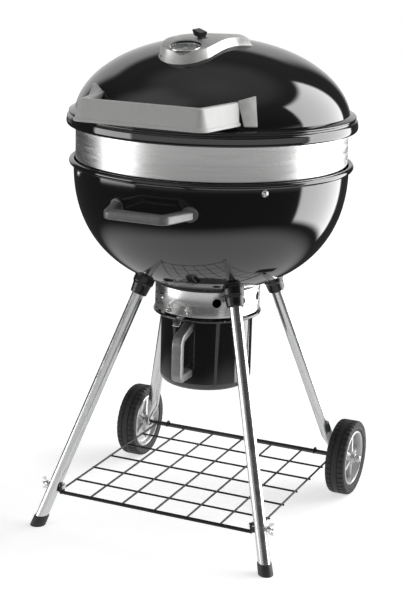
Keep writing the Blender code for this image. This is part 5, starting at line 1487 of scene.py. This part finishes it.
def hub_parts():
    """Rim, closed dish, boss and five ribs that stand out on both sides."""
    width, rim = WHEEL_WIDTH, RIM_SEAT
    dish = width * 0.45
    bore = AXLE_R + AIR
    outline = [(rim - 0.0040, width - 0.0022), (rim - 0.0006, width - 0.0030), (rim, width - 0.0050),
               (rim, 0.0050), (rim - 0.0006, 0.0030), (rim - 0.0040, 0.0022), (rim - 0.0062, 0.0055),
               (rim - 0.0085, dish - 0.0060), (0.0150, dish - 0.0060), (0.0125, 0.0015), (0.0110, 0.0005),
               (bore, 0.0005), (bore, width + 0.0010), (0.0098, width + 0.0010), (0.0125, width - 0.0050),
               (0.0160, dish + 0.0020), (rim - 0.0085, dish - 0.0030), (rim - 0.0062, width - 0.0060)]
    reach = [0.0012, 0.001, 0.001, 0.001, 0.001, 0.0012, 0.001, 0.004, 0.004, 0.0012, 0.0006, 0.0004,
             0.0004, 0.0008, 0.0014, 0.004, 0.004, 0.001]
    parts = [revolve(rounded(outline, reach, 4), 120, True)]
    for i in range(HUB_RIBS):
        angle = tau * i / HUB_RIBS + radians(18)
        along, across = Vector((cos(angle), sin(angle), 0)), Vector((-sin(angle), cos(angle), 0))
        rings = []
        for k in range(9):
            t = k / 8
            radius = 0.0105 + (rim - 0.0050 - 0.0105) * t
            half = 0.0066 - 0.0014 * t - 0.0010 * sin(pi * t)
            low, high = 0.0060 + 0.0060 * t, width - 0.0070 - 0.0060 * t
            shape = [(-half, low + 0.002), (-half * 0.55, low), (half * 0.55, low), (half, low + 0.002),
                     (half, high - 0.003), (half * 0.50, high), (-half * 0.50, high), (-half, high - 0.003)]
            shape = softened(shape, 0.0012, 2)
            rings.append([along * radius + across * p[0] + Vector((0, 0, p[1])) for p in shape])
        parts.append(skinned(rings))
    return merged(parts)


def make_wheel(side, name):
    frame = KETTLE @ shifted(side * WHEEL_INNER_X, AXLE_POINT.y, AXLE_Z) @ spun(side * pi / 2, "Y")
    width, body = WHEEL_WIDTH, "wheel_" + name
    tyre = put("tyre_visual_" + name, tyre_parts(), TYRE_BLACK, frame, 40.0)
    belongs(tyre, body, "tyre_rubber", "tyre_" + name)
    hub = put("wheel_hub_visual_" + name, hub_parts(), HUB_SILVER, frame)
    belongs(hub, body, "hub_grey", "wheel_hub_" + name)
    centre = [(0.0046, width + 0.0012), (0.0086, width + 0.0012), (0.0094, width + 0.0006),
              (0.0094, width + 0.0001), (0.0046, width + 0.0001)]
    inner = [(0.0046, 0.0002), (0.0104, 0.0002), (0.0104, 0.0009), (0.0046, 0.0009)]
    rings = merged([revolve(centre, 48, True), revolve(inner, 48, True)])
    belongs(put("hub_centre_" + name, rings, HUB_CENTRE, frame), body, "hub_grey")
    low, grip = width + 0.0010 + AIR, AXLE_R + 0.0002
    outline = [(0.0, width + 0.0125), (0.0050, width + 0.0120), (0.0078, width + 0.0090), (0.0085, low),
               (grip, low), (grip, width + 0.0110), (0.0, width + 0.0110)]
    profile = rounded(outline, [0, 0.002, 0.002, 0.0006, 0.0004, 0.0004, 0], 4, False)
    cap = turned("axle_cap_visual_" + name, profile, HUB_CENTRE, 48, frame, closed=False)
    belongs(cap, "stand", "hub_grey", "axle_cap_" + name)


# ------------------------------------------------------------ build the grill
make_bowl()
make_band()
make_lid()
make_lid_handle()
make_lid_feet()
make_bowl_handle()
make_vent_cover()
make_vent_slider()
make_gauge()
make_brackets()
make_cooking_grate()
make_charcoal_grate()
make_damper()
make_collar()
make_pot()
make_latch()
for SIDE, NAME in ((-1, "left"), (1, "right")):
    make_front_leg(SIDE, NAME)
    make_rear_leg(SIDE, NAME)
    make_wheel(SIDE, NAME)
make_shelf()
make_axle()


# ------------------------------------------------------------ stage and light
class Shade(Nodes):
    """The nodes of the world or of a stage finish, from an empty tree."""

    def __init__(self, owner):
        owner.use_nodes = True
        owner.node_tree.nodes.clear()
        super().__init__(owner.node_tree)

    def mix(self, factor, first, second):
        node = self.node("ShaderNodeMixShader")
        for output, socket in zip((factor, first, second), node.inputs):
            self.link(output, socket)
        return node.outputs[0]

    def camera_sees(self):
        return self.node("ShaderNodeLightPath").outputs["Is Camera Ray"]

    def glow(self, strength):
        node = self.node("ShaderNodeEmission")
        self.feed(node, Strength=strength)
        return node.outputs[0]

    def ease(self, value, start, end, low=0.0, high=1.0):
        """A smooth step from low at start to high at end."""
        node = self.node("ShaderNodeMapRange", interpolation_type="SMOOTHSTEP")
        for socket, number in zip(node.inputs[1:5], (start, end, low, high)):
            socket.default_value = number
        self.link(value, node.inputs[0])
        return node.outputs[0]

    def total(self, terms):
        result = terms[0]
        for term in terms[1:]:
            result = self.math("ADD", result, term)
        return result


# Each soft box of the studio: azimuth from the front towards +X and height
# above the horizon, both from-to in degrees, how soft its sides and its top
# and bottom are, and how bright it is.
SOFT_BOXES = (
    ((104, 161), (-30, 44), 2.0, 2.5, 5.6),
    ((-79, -41), (-11.5, 11), 2.0, 1.0, 4.0),
    ((-42, 104), (-11, 14), 7.0, 1.5, 0.76),
    ((-78, -6), (16, 62), 16.0, 14.0, 0.50),
    ((186, 238), (-4, 31), 6.0, 4.0, 0.95),
)
SKY = ((20, 0.06), (48, 0.11), (66, 0.34), (90, 0.46))
# The floor shines back on the grill inside an oval that fades between these
# distances, a little ahead of the middle and wider than it is deep.
FLOOR_NEAR, FLOOR_FAR = 0.60, 1.00
FLOOR_SQUASH, FLOOR_AHEAD = 0.80, 0.05
FLOOR_GLOW, FLOOR_SEEN, FLOOR_TONE = 0.80, 0.62, 0.82
FLOOR_R, FLOOR_SIDES = 9.0, 96
# The camera's direction from the grill, its roll, place and lens
CAMERA_TURN, CAMERA_RISE, CAMERA_ROLL = radians(23.86), radians(15.29), radians(1.57)
CAMERA_PLACE = (1.18138, -2.67276, 1.25734)
CAMERA_LENS, CAMERA_SENSOR = 88.63, 36.0


def soft_box(shade, azimuth, height, box):
    (left, right), (low, high), side_blur, end_blur, strength = box
    middle, half = radians((left + right) / 2), radians((right - left) / 2)
    offset = shade.math("WRAP", shade.math("SUBTRACT", azimuth, middle), pi, -pi)
    away = shade.math("ABSOLUTE", offset)
    across = shade.ease(away, half - radians(side_blur), half + radians(side_blur), 1.0, 0.0)
    above = shade.ease(height, radians(low - end_blur), radians(low + end_blur))
    below = shade.ease(height, radians(high - end_blur), radians(high + end_blur), 1.0, 0.0)
    between = shade.math("MULTIPLY", above, below)
    return shade.math("MULTIPLY", shade.math("MULTIPLY", across, strength), between)


def make_world():
    world = bpy.data.worlds.new("studio")
    bpy.context.scene.world = world
    shade = Shade(world)
    split = shade.node("ShaderNodeSeparateXYZ")
    shade.link(shade.node("ShaderNodeTexCoord").outputs["Generated"], split.inputs[0])
    azimuth = shade.math("ARCTAN2", split.outputs["X"], shade.math("MULTIPLY", split.outputs["Y"], -1.0))
    height = shade.math("ARCSINE", split.outputs["Z"])
    terms = [soft_box(shade, azimuth, height, box) for box in SOFT_BOXES]
    for (low, dim), (high, bright) in zip(SKY, SKY[1:]):
        terms.append(shade.ease(height, radians(low), radians(high), 0.0, bright - dim))
    strength = shade.math("ADD", shade.total(terms), SKY[0][1])
    lit = shade.node("ShaderNodeBackground")
    shade.link(strength, lit.inputs["Strength"])
    seen = shade.node("ShaderNodeBackground")
    shade.feed(seen, Color=(1.0, 1.0, 1.0, 1.0))
    surface = shade.mix(shade.camera_sees(), lit.outputs[0], seen.outputs[0])
    shade.link(surface, shade.node("ShaderNodeOutputWorld").inputs["Surface"])


def make_floor():
    """A pale sweep: bright to the eye, and bright close to the grill."""
    material = bpy.data.materials.new("floor_pale")
    shade = Shade(material)
    split = shade.node("ShaderNodeSeparateXYZ")
    shade.link(shade.node("ShaderNodeTexCoord").outputs["Object"], split.inputs[0])
    across = shade.math("MULTIPLY", split.outputs["X"], FLOOR_SQUASH)
    ahead = shade.math("ADD", split.outputs["Y"], FLOOR_AHEAD)
    away = shade.math("ADD", shade.math("MULTIPLY", across, across), shade.math("MULTIPLY", ahead, ahead))
    near = shade.ease(shade.math("SQRT", away), FLOOR_NEAR, FLOOR_FAR, 1.0, 0.0)
    clear = shade.node("ShaderNodeBsdfTransparent")
    lit = shade.mix(near, clear.outputs[0], shade.glow(FLOOR_GLOW))
    paper = shade.node("ShaderNodeBsdfDiffuse")
    shade.feed(paper, Color=(FLOOR_TONE, FLOOR_TONE, FLOOR_TONE, 1.0))
    both = shade.node("ShaderNodeAddShader")
    shade.link(shade.glow(FLOOR_SEEN), both.inputs[0])
    shade.link(paper.outputs[0], both.inputs[1])
    surface = shade.mix(shade.camera_sees(), lit, both.outputs[0])
    shade.link(surface, shade.node("ShaderNodeOutputMaterial").inputs["Surface"])
    angles = [tau * i / FLOOR_SIDES for i in range(FLOOR_SIDES)]
    rim = [(FLOOR_R * cos(a), FLOOR_R * sin(a), 0.0) for a in angles]
    add_mesh("floor", rim, [tuple(range(FLOOR_SIDES))], material)


def make_camera():
    turn, rise, roll = CAMERA_TURN, CAMERA_RISE, CAMERA_ROLL
    back = Vector((sin(turn) * cos(rise), -cos(turn) * cos(rise), sin(rise)))
    right = Vector((cos(turn), sin(turn), 0.0))
    up = back.cross(right)
    data = bpy.data.cameras.new("camera")
    data.lens, data.sensor_width = CAMERA_LENS, CAMERA_SENSOR
    piece = bpy.data.objects.new("camera", data)
    bpy.context.scene.collection.objects.link(piece)
    axes = Matrix((right * cos(roll) + up * sin(roll), up * cos(roll) - right * sin(roll), back)).transposed()
    piece.matrix_world = shifted(*CAMERA_PLACE) @ axes.to_4x4()
    bpy.context.scene.camera = piece


make_floor()
make_world()
make_camera()
bpy.context.scene.view_settings.view_transform = "Standard"
